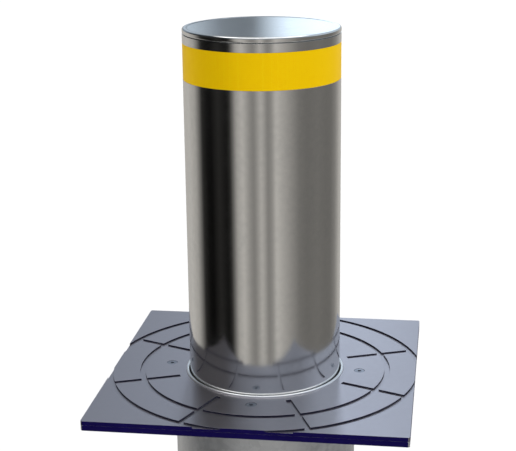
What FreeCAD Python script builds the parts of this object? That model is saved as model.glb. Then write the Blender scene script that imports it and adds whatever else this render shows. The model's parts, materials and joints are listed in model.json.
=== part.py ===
"""Retractable bollard: a polished tube that a hydraulic ram lifts out of a casing in the ground.

Millimetres, +Z up. The origin is on the bollard's axis at pavement level, which is the plane of the
casing flange's underside. The tube is modelled raised, and it sinks by bollard_rise.
"""
import FreeCAD, Part
import math
import os
import Sketcher

doc = FreeCAD.newDocument("retractable_bollard")

# ---------------------------------------------------------------- driving dimensions

SIZES = {
    # moving tube, seen above ground
    "bollard_rise": 500,          # stroke, and the height of the raised tube above the cover plate
    "tube_diameter": 219,
    "tube_wall": 6,
    "cap_thickness": 8,
    "cap_edge_radius": 2.5,
    "cap_spigot_depth": 10,
    "cap_spigot_wall": 7,
    "band_height": 50,            # reflective band
    "band_drop": 20,              # from the top of the cap down to the band
    "band_recess": 0.6,           # depth rolled into the tube for the band
    "band_film": 0.5,
    # cover plate and flange at pavement level
    "plate_side": 440,
    "plate_corner": 3,
    "cover_thickness": 6,
    "flange_thickness": 8,
    "channel_width": 8,           # drain channels cast into the cover plate
    "channel_depth": 2.4,
    "inner_channel_radius": 179,
    "outer_channel_radius": 226,
    "radial_channel_start": 127,
    "screw_setback": 7,           # from the casing's outside out to the cover screws
    "screw_shank_radius": 3.9,
    "screw_head_height": 4,
    "screw_key_size": 5,
    # fits
    "fit_gap": 0.1,               # between fixed pieces that seat in each other
    "slide_gap": 0.3,             # between guides and what slides in them
    "rest_gap": 0.3,              # between a stop and what rests on it
    # bore of the cover: trim ring, seal, upper guide
    "bore_gap": 1.6,
    "trim_lip": 4.2,
    "trim_foot": 7.6,
    "trim_foot_height": 4,
    "trim_rise": 2.2,
    "guide_wall": 4,
    "guide_length": 118,
    "guide_lip": 8,
    "seal_height": 18,
    "seal_lean": 0.5,             # of the wiper's lip in to the tube
    # casing
    "sump_height": 270,
    "casing_diameter": 264,
    "casing_wall": 4,
    "joint_flange_width": 20,
    "joint_flange_thickness": 8,
    "joint_bolt_setback": 11,
    "joint_bolt_radius": 4,
    "deck_thickness": 10,
    "base_thickness": 10,
    "base_margin": 18,
    "base_hole_setback": 9,
    "base_hole_radius": 5.5,
    "anchor_depth": 400,
    "anchor_reach": 60,
    "anchor_width": 40,
    "anchor_thickness": 6,
    "spigot_bore_radius": 25.2,
    "spigot_wall": 2.8,
    "spigot_length": 54,
    "spigot_inset": 2,            # into the casing
    "conduit_height": 218,
    "drain_height": 30,
    # foot of the moving tube
    "skirt_height": 44,
    "skirt_width": 16,
    "skirt_lip": 8,
    "guide_ring_wall": 6.5,
    "guide_ring_split": 3,
    "stop_buffer_height": 10,
    "stop_buffer_setback": 3,     # from the skirt flange's outside in to the buffer's
    "crosshead_thickness": 12,
    "crosshead_hole_radius": 37,
    # guide rods
    "rod_setback": 31.5,          # from the tube's bore in to the guide rods
    "rod_radius": 10,
    "rod_spare": 68,
    "rod_tail": 16,               # below the deck, for the lower nut
    "rod_nut_size": 30,
    "rod_nut_height": 12,
    "bush_length": 40,
    "bush_wall": 5,
    "bush_flange": 4,
    "lower_buffer_height": 25,
    "lower_buffer_radius": 15,
    # ram
    "ram_radius": 30,
    "ram_wall": 5,
    "ram_spare": 90,              # length of the ram's barrel beyond its stroke
    "ram_foot_height": 30,
    "ram_foot_radius": 42,
    "ram_foot_rim": 10,
    "ram_socket_depth": 12,
    "ram_socket_wall": 4,
    "union_radius": 9,            # of the oil union through the deck
    "union_size": 17,
    "union_drop": 14,             # of its hexagon below the deck
    "piston_rod_radius": 15,
    "piston_length": 40,
    "piston_clearance": 0.4,
    "gland_depth": 25,
    "gland_head": 14,
    "gland_overhang": 2,          # of the gland's head beyond the barrel
    "gland_lip": 3,               # below the rod seal's groove
    "rod_seal_wall": 3.6,
    "rod_seal_height": 6,
    "lift_plate_thickness": 12,
    "lift_plate_drop": 30,
    "stud_radius": 10,
    # pump unit under the deck
    "pump_offset": 48,
    "pump_height": 24,
    "pump_cover_thickness": 8,
    "pump_mount_height": 10,
    "pump_mount_radius": 8,
    "pump_mount_spread": 14,      # along X, and across it the mounts stand at the next
    "pump_mount_reach": 26,
    "pump_wall": 8,               # round the gears
    "gear_width": 15,
    "gear_module": 2.5,
    "gear_tip_gap": 0.3,
    "idler_end": 2,
    "shaft_radius": 6,
    "shaft_gap": 0.05,
    "block_height": 45,
    "block_length": 84,
    "block_width": 80,
    "port_shift": 24,             # from the shaft to the pressure port
    "valve_shift": 14,            # from the shaft the other way, to the solenoid and relief valve
    "motor_radius": 42,
    "motor_height": 112,
    "motor_wall": 5,
    "motor_end": 8,
    "motor_cover": 4,             # beyond its bearing
    "air_gap": 1,
    "bearing_radius": 14,
    "rotor_radius": 27,
    "rotor_length": 70,
    "tank_length": 88,
    "tank_width": 140,
    "tank_height": 190,
    "tank_wall": 2.5,
    "tank_offset": 10,
    "filler_radius": 10,
    "filler_depth": 8,
    "filler_cap_radius": 17,
    "filler_cap_height": 12,
    "pipe_radius": 4,
    "stem_radius": 4,             # lowering valve
    "stem_length": 24,
    "knob_radius": 14,
    "knob_length": 14,
    "knob_gap": 6,                # from the valve block to the knob
    "flute_radius": 2.5,
    "coil_radius": 18,
    "coil_length": 46,
    "box_length": 80,
    "box_width": 48,
    "box_height": 40,
    "box_wall": 2.5,
    "box_lid": 3,
    "box_setback": 14,            # from the casing's bore in to the box
    "cable_thread_radius": 8,
    "cable_thread_length": 8,
    "cable_nut_size": 20,
    "cable_nut_height": 9,
    "cable_way_radius": 4.5,
    "switch_radius": 6,
    "switch_gap": 2.5,
    "lower_switch_setback": 15.5,
    "switch_tail": 8,             # above the bracket
    "bracket_thickness": 3,
    "bracket_width": 24,
    "rod_inset": 30,              # from a guide rod in to the upper switch
}


class Dim:
    """A length that knows its number and the spreadsheet expression that gives it."""

    def __init__(self, number, text):
        self.number, self.text = number, text

    def join(self, sign, other, number):
        text = other.text if isinstance(other, Dim) else repr(other)
        return Dim(number, f"({self.text} {sign} {text})")

    def __add__(self, other):
        return self.join("+", other, self.number + plain(other))

    def __sub__(self, other):
        return self.join("-", other, self.number - plain(other))

    def __mul__(self, other):
        return self.join("*", other, self.number * plain(other))

    def __truediv__(self, other):
        return self.join("/", other, self.number / plain(other))

    def __neg__(self):
        return Dim(-self.number, f"(-1 * {self.text})")

    def __radd__(self, other):
        return as_dim(other) + self

    def __rsub__(self, other):
        return as_dim(other) - self

    def __rmul__(self, other):
        return as_dim(other) * self


def plain(value):
    return value.number if isinstance(value, Dim) else value


class Sheet:
    """The spreadsheet of driving dimensions. sheet.tube_wall gives that cell as a Dim."""

    def __init__(self):
        cells = doc.addObject("Spreadsheet::Sheet", "Sizes")
        for row, (alias, number) in enumerate(SIZES.items(), start=1):
            cells.set(f"A{row}", alias)
            cells.set(f"B{row}", str(number))
            cells.setAlias(f"B{row}", alias)
            setattr(self, alias, Dim(number, f"Sizes.{alias}"))


size = Sheet()
doc.recompute()

# ---------------------------------------------------------------- places worked out from the sizes

tube_radius = size.tube_diameter / 2
tube_bore = tube_radius - size.tube_wall
cover_top = size.flange_thickness + size.cover_thickness
bollard_top = cover_top + size.bollard_rise
tube_top = bollard_top - size.cap_thickness
casing_radius = size.casing_diameter / 2
casing_bore = casing_radius - size.casing_wall
bore_radius = tube_radius + size.bore_gap
housing_bottom = size.flange_thickness - size.guide_length
skirt_top = housing_bottom - size.stop_buffer_height - size.rest_gap
tube_bottom = skirt_top - size.skirt_height
deck_top = tube_bottom - size.bollard_rise - size.lower_buffer_height - size.rest_gap
deck_bottom = deck_top - size.deck_thickness
base_top = deck_bottom - size.sump_height
base_bottom = base_top - size.base_thickness
base_hole_circle = casing_radius + size.base_hole_setback
joint_bolt_circle = casing_radius + size.joint_bolt_setback
screw_circle = casing_radius + size.screw_setback
rod_circle = tube_bore - size.rod_setback
ram_length = size.bollard_rise + size.ram_spare
rod_top = tube_bottom + size.rod_spare
ram_bottom = deck_top + size.ram_foot_height
ram_top = ram_bottom + ram_length
lift_plate_bottom = tube_top - size.lift_plate_drop - size.lift_plate_thickness
piston_top = ram_top - size.gland_depth - size.rest_gap
pump_bottom = base_top + size.pump_mount_height
gear_bottom = pump_bottom + size.pump_cover_thickness
block_bottom = gear_bottom + size.pump_height
motor_bottom = block_bottom + size.block_height
block_middle = block_bottom + size.block_height / 2

# ---------------------------------------------------------------- building helpers

GUIDE_TURN, BUFFER_TURN = 270, 90                 # directions of the first guide rod and buffer
SUBPARTS = []                                     # every finished sub-part, in the order made
ALONG = {                                         # rotations that carry +Z to another direction
    "+z": FreeCAD.Rotation(),
    "+x": FreeCAD.Rotation(FreeCAD.Vector(0, 1, 0), 90),
    "+y": FreeCAD.Rotation(FreeCAD.Vector(1, 0, 0), -90),
    "-y": FreeCAD.Rotation(FreeCAD.Vector(1, 0, 0), 90),
}


def bind(thing, prop, value):
    """Ties a property to its expression, or sets it where it is a bare number."""
    if isinstance(value, Dim):
        thing.setExpression(prop, value.text)
    elif prop.startswith("Placement.Base."):
        place = thing.Placement
        setattr(place.Base, prop[-1], value)
        thing.Placement = place
    else:
        setattr(thing, prop, value)


def put(thing, place=(0, 0, 0), along="+z"):
    thing.Placement = FreeCAD.Placement(
        FreeCAD.Vector(*[plain(v) for v in place]), ALONG[along])
    for letter, value in zip("xyz", place):
        bind(thing, "Placement.Base." + letter, value)
    return thing


def finished(thing, label):
    thing.Label = label
    SUBPARTS.append(thing)
    return thing


def around(count, first=0.0):
    """(cosine, sine) of evenly spaced directions round the axis, the first at so many degrees."""
    turns = [math.radians(first + 360.0 * i / count) for i in range(count)]
    return [(round(math.cos(t), 9), round(math.sin(t), 9)) for t in turns]


def cylinder(radius, height, place=(0, 0, 0), along="+z"):
    made = doc.addObject("Part::Cylinder", "cylinder")
    bind(made, "Radius", radius)
    bind(made, "Height", height)
    return put(made, place, along)


def cone(radius_low, radius_high, height, place):
    made = doc.addObject("Part::Cone", "cone")
    bind(made, "Radius1", radius_low)
    bind(made, "Radius2", radius_high)
    bind(made, "Height", height)
    return put(made, place)


def block(length, width, height, place):
    """A box whose place is the middle of its underside."""
    made = doc.addObject("Part::Box", "block")
    bind(made, "Length", length)
    bind(made, "Width", width)
    bind(made, "Height", height)
    x, y, z = place
    return put(made, (as_dim(x) - length / 2, as_dim(y) - width / 2, z))


def hexagon(across_flats, height, place, along="+z"):
    made = doc.addObject("Part::Prism", "hexagon")
    made.Polygon = 6
    bind(made, "Circumradius", as_dim(across_flats) / round(math.sqrt(3), 6))
    bind(made, "Height", height)
    return put(made, place, along)


def as_dim(value):
    return value if isinstance(value, Dim) else Dim(value, repr(value))


def cut(base, *tools):
    for tool in tools:
        made = doc.addObject("Part::Cut", "cut")
        made.Base, made.Tool = base, tool
        base = made
    return base


def fuse(*pieces):
    made = doc.addObject("Part::MultiFuse", "fuse")
    made.Shapes = list(pieces)
    made.Refine = True
    return made


def group(label, pieces):
    """Identical separate solids kept together as one sub-part."""
    made = doc.addObject("Part::Compound", label)
    made.Links = list(pieces)
    return finished(made, label)


def pin(sketch, line, kind, value, axis):
    """Fixes the start of a line at a distance from the sketch's origin, or on the axis at 0."""
    if plain(value) == 0:
        sketch.addConstraint(Sketcher.Constraint("PointOnObject", line, 1, axis))
        return
    which = sketch.addConstraint(Sketcher.Constraint(kind, -1, 1, line, 1, plain(value)))
    if isinstance(value, Dim):
        sketch.setExpression(f"Constraints[{which}]", value.text)


def outline(sketch, corners):
    """A closed outline of straight edges whose corners are tied to the sheet."""
    first, count = sketch.GeometryCount, len(corners)
    ends = [FreeCAD.Vector(plain(u), plain(v), 0) for u, v in corners]
    for i in range(count):
        sketch.addGeometry(Part.LineSegment(ends[i], ends[(i + 1) % count]), False)
    for i in range(count):
        joined = Sketcher.Constraint("Coincident", first + i, 2, first + (i + 1) % count, 1)
        sketch.addConstraint(joined)
    for i, (u, v) in enumerate(corners):
        pin(sketch, first + i, "DistanceX", u, -2)
        pin(sketch, first + i, "DistanceY", v, -1)


def ring(sketch, radius):
    """A circle about the sketch's origin."""
    which = sketch.addGeometry(
        Part.Circle(FreeCAD.Vector(0, 0, 0), FreeCAD.Vector(0, 0, 1), plain(radius)), False)
    sketch.addConstraint(Sketcher.Constraint("Coincident", which, 3, -1, 1))
    held = sketch.addConstraint(Sketcher.Constraint("Radius", which, plain(radius)))
    sketch.setExpression(f"Constraints[{held}]", as_dim(radius).text)


def spot(sketch, radius, x, y):
    """A circle whose centre is tied to the sheet."""
    which = sketch.addGeometry(
        Part.Circle(FreeCAD.Vector(plain(x), plain(y), 0), FreeCAD.Vector(0, 0, 1),
                    plain(radius)), False)
    held = sketch.addConstraint(Sketcher.Constraint("Radius", which, plain(radius)))
    sketch.setExpression(f"Constraints[{held}]", as_dim(radius).text)
    for kind, value, axis in (("DistanceX", x, -2), ("DistanceY", y, -1)):
        if abs(plain(value)) < 1e-6:
            sketch.addConstraint(Sketcher.Constraint("PointOnObject", which, 3, axis))
            continue
        fixed = sketch.addConstraint(
            Sketcher.Constraint(kind, -1, 1, which, 3, plain(value)))
        sketch.setExpression(f"Constraints[{fixed}]", value.text)


def new_body(label, place=(0, 0, 0), along="+z"):
    body = doc.addObject("PartDesign::Body", label)
    put(body, place, along)
    return finished(body, label)


def new_sketch(body, plane, height=0):
    """A sketch on one of the body's own planes, lifted by height along the plane's normal."""
    sketch = body.newObject("Sketcher::SketchObject", "sketch")
    origin_plane = [f for f in body.Origin.OriginFeatures if f.Role == plane][0]
    sketch.AttachmentSupport = [(origin_plane, "")]
    sketch.MapMode = "FlatFace"
    if isinstance(height, Dim):
        sketch.setExpression("AttachmentOffset.Base.z", height.text)
    return sketch


def turned(label, corners, place=(0, 0, 0), along="+z"):
    """A body of revolution about its Z axis, from (radius, height) corners."""
    body = new_body(label, place, along)
    profile = new_sketch(body, "XZ_Plane")
    outline(profile, corners)
    made = body.newObject("PartDesign::Revolution", "turned")
    made.Profile = profile
    made.ReferenceAxis = (profile, ["V_Axis"])
    made.Angle = 360
    return body


def padded(body, sketch, length):
    made = body.newObject("PartDesign::Pad", "pad")
    made.Profile = sketch
    bind(made, "Length", length)
    return made


def pocketed(body, sketch, depth):
    """Cuts the sketch's outline down into the body, and raises if nothing was cut."""
    doc.recompute()
    before = body.Shape.Volume
    made = body.newObject("PartDesign::Pocket", "pocket")
    made.Profile = sketch
    bind(made, "Length", depth)
    doc.recompute()
    if not made.Shape.Volume < before - 1:
        raise RuntimeError(f"{body.Label}: a pocket cut nothing")
    return made


def spun(body, feature, count):
    """Repeats a feature evenly round the body's Z axis."""
    made = body.newObject("PartDesign::PolarPattern", "spun")
    made.Originals = [feature]
    axis = [f for f in body.Origin.OriginFeatures if f.Role == "Z_Axis"][0]
    made.Axis = (axis, [""])
    made.Angle = 360
    made.Occurrences = count
    body.Tip = made
    return made


def softened(body, kind, amount, wanted):
    """Rounds or chamfers the edges that the test picks out."""
    doc.recompute()
    base = body.Tip
    names = [f"Edge{i}" for i, edge in enumerate(base.Shape.Edges, start=1) if wanted(edge)]
    if not names:
        raise RuntimeError(f"{body.Label}: no edge to soften")
    made = body.newObject("PartDesign::" + kind, kind.lower())
    made.Base = (base, names)
    bind(made, "Radius" if kind == "Fillet" else "Size", amount)
    return made


def round_edge_at(radius, height):
    """A test for full circular edges of that radius at that height."""
    def wanted(edge):
        return (isinstance(edge.Curve, Part.Circle)
                and abs(edge.Curve.Radius - plain(radius)) < 1e-3
                and abs(edge.Curve.Center.z - plain(height)) < 1e-3)
    return wanted


def disc(label, radius, thickness, height, holes=()):
    """A flat round plate with round holes, each (radius, x, y)."""
    body = new_body(label, (0, 0, height))
    face = new_sketch(body, "XY_Plane")
    ring(face, radius)
    for hole_radius, x, y in holes:
        spot(face, hole_radius, x, y)
    padded(body, face, thickness)
    return body


def bent_pipe(label, radius, points, bend):
    """A pipe along straight runs joined by tangent arcs of one bend radius."""
    edges, start = [], points[0]
    for before, corner, after in zip(points, points[1:], points[2:]):
        inward = (corner - before).normalize()
        onward = (after - corner).normalize()
        turn = inward.getAngle(onward)
        reach = bend * math.tan(turn / 2)
        arc_start, arc_end = corner - inward * reach, corner + onward * reach
        middle = (onward - inward).normalize()
        crown = corner + middle * (bend / math.cos(turn / 2) - bend)
        edges += [Part.LineSegment(start, arc_start).toShape(),
                  Part.Arc(arc_start, crown, arc_end).toShape()]
        start = arc_end
    edges.append(Part.LineSegment(start, points[-1]).toShape())
    path = Part.Wire(edges)
    section = Part.Wire(Part.Circle(points[0], points[1] - points[0], radius).toShape())
    made = doc.addObject("Part::Feature", label)
    made.Shape = path.makePipeShell([section], True, True)
    ratio = made.Shape.Volume / (math.pi * radius ** 2 * path.Length)
    if not 0.98 < ratio < 1.02:
        raise RuntimeError(f"{label}: the swept volume is {ratio:.3f} of what it should be")
    return finished(made, label)


# ---------------------------------------------------------------- the tube and what it carries

def bollard_tube():
    band_top = bollard_top - size.band_drop - tube_bottom
    band_low = band_top - size.band_height
    recess = tube_radius - size.band_recess
    length = tube_top - tube_bottom
    turned("bollard_tube", [
        (tube_bore, 0), (tube_radius, 0), (tube_radius, band_low), (recess, band_low),
        (recess, band_top), (tube_radius, band_top), (tube_radius, length), (tube_bore, length),
    ], (0, 0, tube_bottom))


def reflective_band():
    inside = tube_radius - size.band_recess + size.fit_gap / 2
    outside = tube_radius - size.band_recess + size.band_film
    height = size.band_height - size.fit_gap * 2
    turned("reflective_band", [(inside, 0), (outside, 0), (outside, height), (inside, height)],
           (0, 0, bollard_top - size.band_drop - size.band_height + size.fit_gap))


def top_cap():
    spigot = tube_bore - size.fit_gap
    step = size.cap_spigot_depth
    top = step + size.cap_thickness
    body = turned("top_cap", [
        (spigot - size.cap_spigot_wall, 0), (spigot, 0), (spigot, step), (tube_radius, step),
        (tube_radius, top), (0, top), (0, step), (spigot - size.cap_spigot_wall, step),
    ], (0, 0, tube_top - size.cap_spigot_depth))
    softened(body, "Fillet", size.cap_edge_radius, round_edge_at(tube_radius, top))


def lift_plate():
    disc("lift_plate", tube_bore - size.fit_gap, size.lift_plate_thickness, lift_plate_bottom,
         [(size.stud_radius + size.fit_gap, 0, 0)]
         + [(size.rod_radius, rod_circle * c, rod_circle * s)
            for c, s in around(3, BUFFER_TURN)])


def skirt_flange():
    inside = tube_radius + size.fit_gap
    outside = inside + size.skirt_width
    groove = casing_bore - size.slide_gap - size.guide_ring_wall - size.fit_gap
    upper = size.skirt_height - size.skirt_lip
    turned("skirt_flange", [
        (inside, 0), (outside, 0), (outside, size.skirt_lip), (groove, size.skirt_lip),
        (groove, upper), (outside, upper), (outside, size.skirt_height),
        (inside, size.skirt_height),
    ], (0, 0, tube_bottom))


def lower_guide_ring():
    """A split wear ring that slides down the casing's bore."""
    outside = casing_bore - size.slide_gap
    inside = outside - size.guide_ring_wall
    height = size.skirt_height - size.skirt_lip * 2 - size.fit_gap * 2
    bottom = tube_bottom + size.skirt_lip + size.fit_gap
    whole = cut(cylinder(outside, height, (0, 0, bottom)),
                cylinder(inside, height, (0, 0, bottom)))
    split = block(size.guide_ring_wall * 4, size.guide_ring_split, height,
                  (-outside, 0, bottom))
    finished(cut(whole, split), "lower_guide_ring")


def stop_buffer():
    inside = tube_radius + size.fit_gap * 3
    outside = inside + size.skirt_width - size.stop_buffer_setback
    turned("stop_buffer", [
        (inside, 0), (outside, 0), (outside, size.stop_buffer_height),
        (inside, size.stop_buffer_height),
    ], (0, 0, skirt_top))


def crosshead():
    bush_radius = size.rod_radius + size.slide_gap + size.bush_wall
    holes = [(size.crosshead_hole_radius, 0, 0)]
    holes += [(bush_radius + size.fit_gap, rod_circle * c, rod_circle * s)
              for c, s in around(3, GUIDE_TURN)]
    disc("crosshead", tube_bore - size.fit_gap, size.crosshead_thickness, tube_bottom, holes)


def guide_bushes():
    inside = size.rod_radius + size.slide_gap
    outside = inside + size.bush_wall
    flange_at = tube_bottom + size.crosshead_thickness
    bushes = []
    for c, s in around(3, GUIDE_TURN):
        x, y = rod_circle * c, rod_circle * s
        solid = fuse(cylinder(outside, size.bush_length, (x, y, tube_bottom)),
                     cylinder(outside + size.bush_flange, size.bush_flange, (x, y, flange_at)))
        bushes.append(cut(solid, cylinder(inside, size.bush_length, (x, y, tube_bottom))))
    group("guide_bushes", bushes)


def ram_rod():
    """Piston rod with a stud at its top, and a smaller journal for the piston at its foot."""
    foot = piston_top - size.piston_length
    shoulder = lift_plate_bottom - foot
    tip = shoulder + size.lift_plate_thickness + size.stud_radius * 2
    turned("ram_rod", [
        (0, 0), (size.stud_radius, 0), (size.stud_radius, size.piston_length),
        (size.piston_rod_radius, size.piston_length), (size.piston_rod_radius, shoulder),
        (size.stud_radius, shoulder), (size.stud_radius, tip), (0, tip),
    ], (0, 0, foot))


def ram_piston():
    inside = size.stud_radius + size.fit_gap
    outside = size.ram_radius - size.ram_wall - size.piston_clearance
    groove = outside - size.rod_seal_wall
    low, high = size.piston_length / 4, size.piston_length * 0.5
    turned("ram_piston", [
        (inside, 0), (outside, 0), (outside, low), (groove, low), (groove, high),
        (outside, high), (outside, size.piston_length), (inside, size.piston_length),
    ], (0, 0, piston_top - size.piston_length))


def piston_seal():
    outside = size.ram_radius - size.ram_wall - size.piston_clearance / 2
    inside = outside - size.rod_seal_wall
    height = size.piston_length / 4 - size.fit_gap * 2
    turned("piston_seal", [(inside, 0), (outside, 0), (outside, height), (inside, height)],
           (0, 0, piston_top - size.piston_length * 0.75 + size.fit_gap))


def rod_nut():
    bottom = lift_plate_bottom + size.lift_plate_thickness
    height = size.stud_radius * 1.6
    nut = hexagon(size.stud_radius * 3, height, (0, 0, bottom))
    hole = cylinder(size.stud_radius + size.fit_gap, height, (0, 0, bottom))
    finished(cut(nut, hole), "rod_nut")


# ---------------------------------------------------------------- cover plate, seal and upper guide

def cover_plate():
    """Square cast plate with drain channels, a bore for the trim ring and four screw holes."""
    half = size.plate_side / 2
    bore = bore_radius + size.trim_lip + size.fit_gap
    top = size.cover_thickness
    body = new_body("cover_plate", (0, 0, size.flange_thickness))
    face = new_sketch(body, "XY_Plane")
    outline(face, [(-half, -half), (half, -half), (half, half), (-half, half)])
    ring(face, bore)
    padded(body, face, top)
    for middle in (size.inner_channel_radius, size.outer_channel_radius):
        channel = new_sketch(body, "XY_Plane", top)
        ring(channel, middle - size.channel_width / 2)
        ring(channel, middle + size.channel_width / 2)
        pocketed(body, channel, size.channel_depth)
    radial = new_sketch(body, "XY_Plane", top)
    turn = math.radians(22.5)
    along = (round(math.cos(turn), 9), round(math.sin(turn), 9))
    outer = size.outer_channel_radius
    inner, side = size.radial_channel_start, size.channel_width / 2
    outline(radial, [
        (inner * along[0] + side * along[1], inner * along[1] - side * along[0]),
        (outer * along[0] + side * along[1], outer * along[1] - side * along[0]),
        (outer * along[0] - side * along[1], outer * along[1] + side * along[0]),
        (inner * along[0] - side * along[1], inner * along[1] + side * along[0]),
    ])
    spun(body, pocketed(body, radial, size.channel_depth), 8)
    screws = new_sketch(body, "XY_Plane", top)
    hole = size.screw_shank_radius + size.fit_gap
    spot(screws, hole, screw_circle, 0)
    spun(body, pocketed(body, screws, top), 4)
    softened(body, "Chamfer", size.screw_head_height,
             lambda edge: isinstance(edge.Curve, Part.Circle)
             and abs(edge.Curve.Radius - plain(hole)) < 0.01
             and edge.Curve.Center.z > plain(top) - 0.01)
    softened(body, "Fillet", size.plate_corner,
             lambda edge: edge.Length < plain(top) + 0.01
             and abs(edge.CenterOfMass.x) > plain(half) - 0.01
             and abs(edge.CenterOfMass.y) > plain(half) - 0.01)


def cover_screws():
    """Countersunk screws with a hexagon key socket, from the cover plate into the flange."""
    head_top = cover_top - size.fit_gap * 3
    head_radius = size.screw_shank_radius + size.screw_head_height - size.fit_gap * 3
    head_low = head_top - head_radius + size.screw_shank_radius
    tip = size.flange_thickness / 4
    screws = []
    for c, s in around(4):
        x, y = screw_circle * c, screw_circle * s
        head = cone(size.screw_shank_radius, head_radius, head_top - head_low,
                    (x, y, head_low))
        shank = cylinder(size.screw_shank_radius, head_low - tip, (x, y, tip))
        socket = hexagon(size.screw_key_size, size.screw_head_height * 0.7,
                         (x, y, head_top - size.screw_head_height * 0.7))
        screws.append(cut(fuse(head, shank), socket))
    group("cover_screws", screws)


def bore_trim_ring():
    """Bright ring round the cover's bore, held down by the cover plate on its foot."""
    lip = bore_radius + size.trim_lip
    foot = bore_radius + size.trim_foot
    top = size.trim_foot_height + size.cover_thickness + size.trim_rise
    body = turned("bore_trim_ring", [
        (bore_radius, 0), (foot, 0), (foot, size.trim_foot_height - size.fit_gap),
        (lip, size.trim_foot_height - size.fit_gap), (lip, top), (bore_radius, top),
    ], (0, 0, size.flange_thickness - size.trim_foot_height))
    softened(body, "Fillet", size.trim_lip * 0.45,
             lambda edge: round_edge_at(lip, top)(edge) or round_edge_at(bore_radius, top)(edge))


def wiper_seal():
    """Rubber wiper whose lip leans in to the tube."""
    lip = tube_radius + size.slide_gap
    heel = lip + size.seal_lean
    back = tube_radius + size.slide_gap + size.guide_wall
    seat = size.seal_height
    turned("wiper_seal", [
        (heel, 0), (back, 0), (back, seat - size.fit_gap), (bore_radius - size.fit_gap * 2, seat),
        (bore_radius - size.fit_gap * 8, seat + 6), (lip, seat + 7), (lip, seat + 4),
        (heel, seat),
    ], (0, 0, size.flange_thickness - size.trim_foot_height - size.seal_height))


def upper_guide_bush():
    inside = tube_radius + size.slide_gap
    outside = inside + size.guide_wall
    height = size.guide_length - size.trim_foot_height - size.seal_height - size.guide_lip
    turned("upper_guide_bush", [(inside, 0), (outside, 0), (outside, height - size.fit_gap),
                                (inside, height - size.fit_gap)],
           (0, 0, housing_bottom + size.guide_lip))


def guide_housing():
    seat = tube_radius + size.slide_gap + size.guide_wall + size.fit_gap
    outside = casing_bore - size.fit_gap
    rebate = bore_radius + size.trim_foot + size.fit_gap
    rebate_at = size.guide_length - size.trim_foot_height
    turned("guide_housing", [
        (bore_radius, 0), (outside, 0), (outside, size.guide_length),
        (rebate, size.guide_length), (rebate, rebate_at), (seat, rebate_at),
        (seat, size.guide_lip), (bore_radius, size.guide_lip),
    ], (0, 0, housing_bottom))


# ---------------------------------------------------------------- casing in the ground

def casing_flange():
    half = size.plate_side / 2
    body = new_body("casing_flange")
    face = new_sketch(body, "XY_Plane")
    outline(face, [(-half, -half), (half, -half), (half, half), (-half, half)])
    ring(face, casing_radius + size.fit_gap)
    for c, s in around(4):
        spot(face, size.screw_shank_radius + size.fit_gap,
             screw_circle * c, screw_circle * s)
    padded(body, face, size.flange_thickness)
    softened(body, "Fillet", size.plate_corner,
             lambda edge: edge.Length < plain(size.flange_thickness) + 0.01
             and abs(edge.CenterOfMass.x) > plain(half) - 0.01
             and abs(edge.CenterOfMass.y) > plain(half) - 0.01)


def drum(label, bottom, top):
    """A length of the casing's round wall."""
    return turned(label, [(casing_bore, 0), (casing_radius, 0), (casing_radius, top - bottom),
                          (casing_bore, top - bottom)], (0, 0, bottom))


def sump_drum():
    """The casing's lower end, with a round hole for each pipe spigot."""
    wall = cut(cylinder(casing_radius, deck_bottom - base_top, (0, 0, base_top)),
               cylinder(casing_bore, deck_bottom - base_top, (0, 0, base_top)))
    hole = size.spigot_bore_radius + size.spigot_wall + size.fit_gap
    conduit = cylinder(hole, casing_radius * 2, (0, 0, base_top + size.conduit_height), "+y")
    drain = cylinder(hole, casing_radius * 2, (0, 0, base_top + size.drain_height), "-y")
    finished(cut(wall, conduit, drain), "sump_drum")


def pipe_spigots():
    """Stubs through the sump's wall, for a conduit behind and a drain pipe in front."""
    start = casing_bore - size.spigot_inset
    inside = size.spigot_bore_radius
    spigots = []
    for way, along, height in ((1, "+y", size.conduit_height), (-1, "-y", size.drain_height)):
        place = (0, start * way, base_top + height)
        spigots.append(cut(cylinder(inside + size.spigot_wall, size.spigot_length, place, along),
                           cylinder(inside, size.spigot_length, place, along)))
    group("pipe_spigots", spigots)


def joint_flanges():
    """Two welded rings, above and below the deck, that the casing's bolts pull together."""
    inside = casing_radius + size.fit_gap
    rings = []
    for bottom in (deck_top, deck_bottom - size.joint_flange_thickness):
        whole = cylinder(inside + size.joint_flange_width, size.joint_flange_thickness,
                         (0, 0, bottom))
        holes = [cylinder(inside, size.joint_flange_thickness, (0, 0, bottom))]
        holes += [cylinder(size.joint_bolt_radius + size.fit_gap, size.joint_flange_thickness,
                           (joint_bolt_circle * c, joint_bolt_circle * s, bottom))
                  for c, s in around(8, 22.5)]
        rings.append(cut(whole, *holes))
    group("joint_flanges", rings)


def joint_bolts():
    """Eight bolts that clamp the deck between the joint flanges, threaded into the lower one."""
    top = deck_top + size.joint_flange_thickness
    low = deck_bottom - size.joint_flange_thickness
    radius = size.joint_bolt_radius
    group("joint_bolts", [
        fuse(hexagon(radius * 3.25, radius * 1.3, (x, y, top)),
             cylinder(radius, top - low + radius, (x, y, low - radius)))
        for x, y in [(joint_bolt_circle * c, joint_bolt_circle * s)
                     for c, s in around(8, 22.5)]])


def pump_deck():
    """The plate that carries the ram and the guide rods, above the pump unit."""
    holes = [(size.union_radius + size.fit_gap, 0, 0)]
    holes += [(size.rod_radius + size.fit_gap, rod_circle * c, rod_circle * s)
              for c, s in around(3, GUIDE_TURN)]
    holes += [(size.joint_bolt_radius + size.fit_gap,
               joint_bolt_circle * c, joint_bolt_circle * s)
              for c, s in around(8, 22.5)]
    disc("pump_deck", casing_radius + size.fit_gap + size.joint_flange_width,
         size.deck_thickness, deck_bottom, holes)


def base_plate():
    holes = [(size.base_hole_radius, base_hole_circle * c, base_hole_circle * s)
             for c, s in around(4, 45)]
    disc("base_plate", casing_radius + size.base_margin, size.base_thickness, base_bottom, holes)


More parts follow.
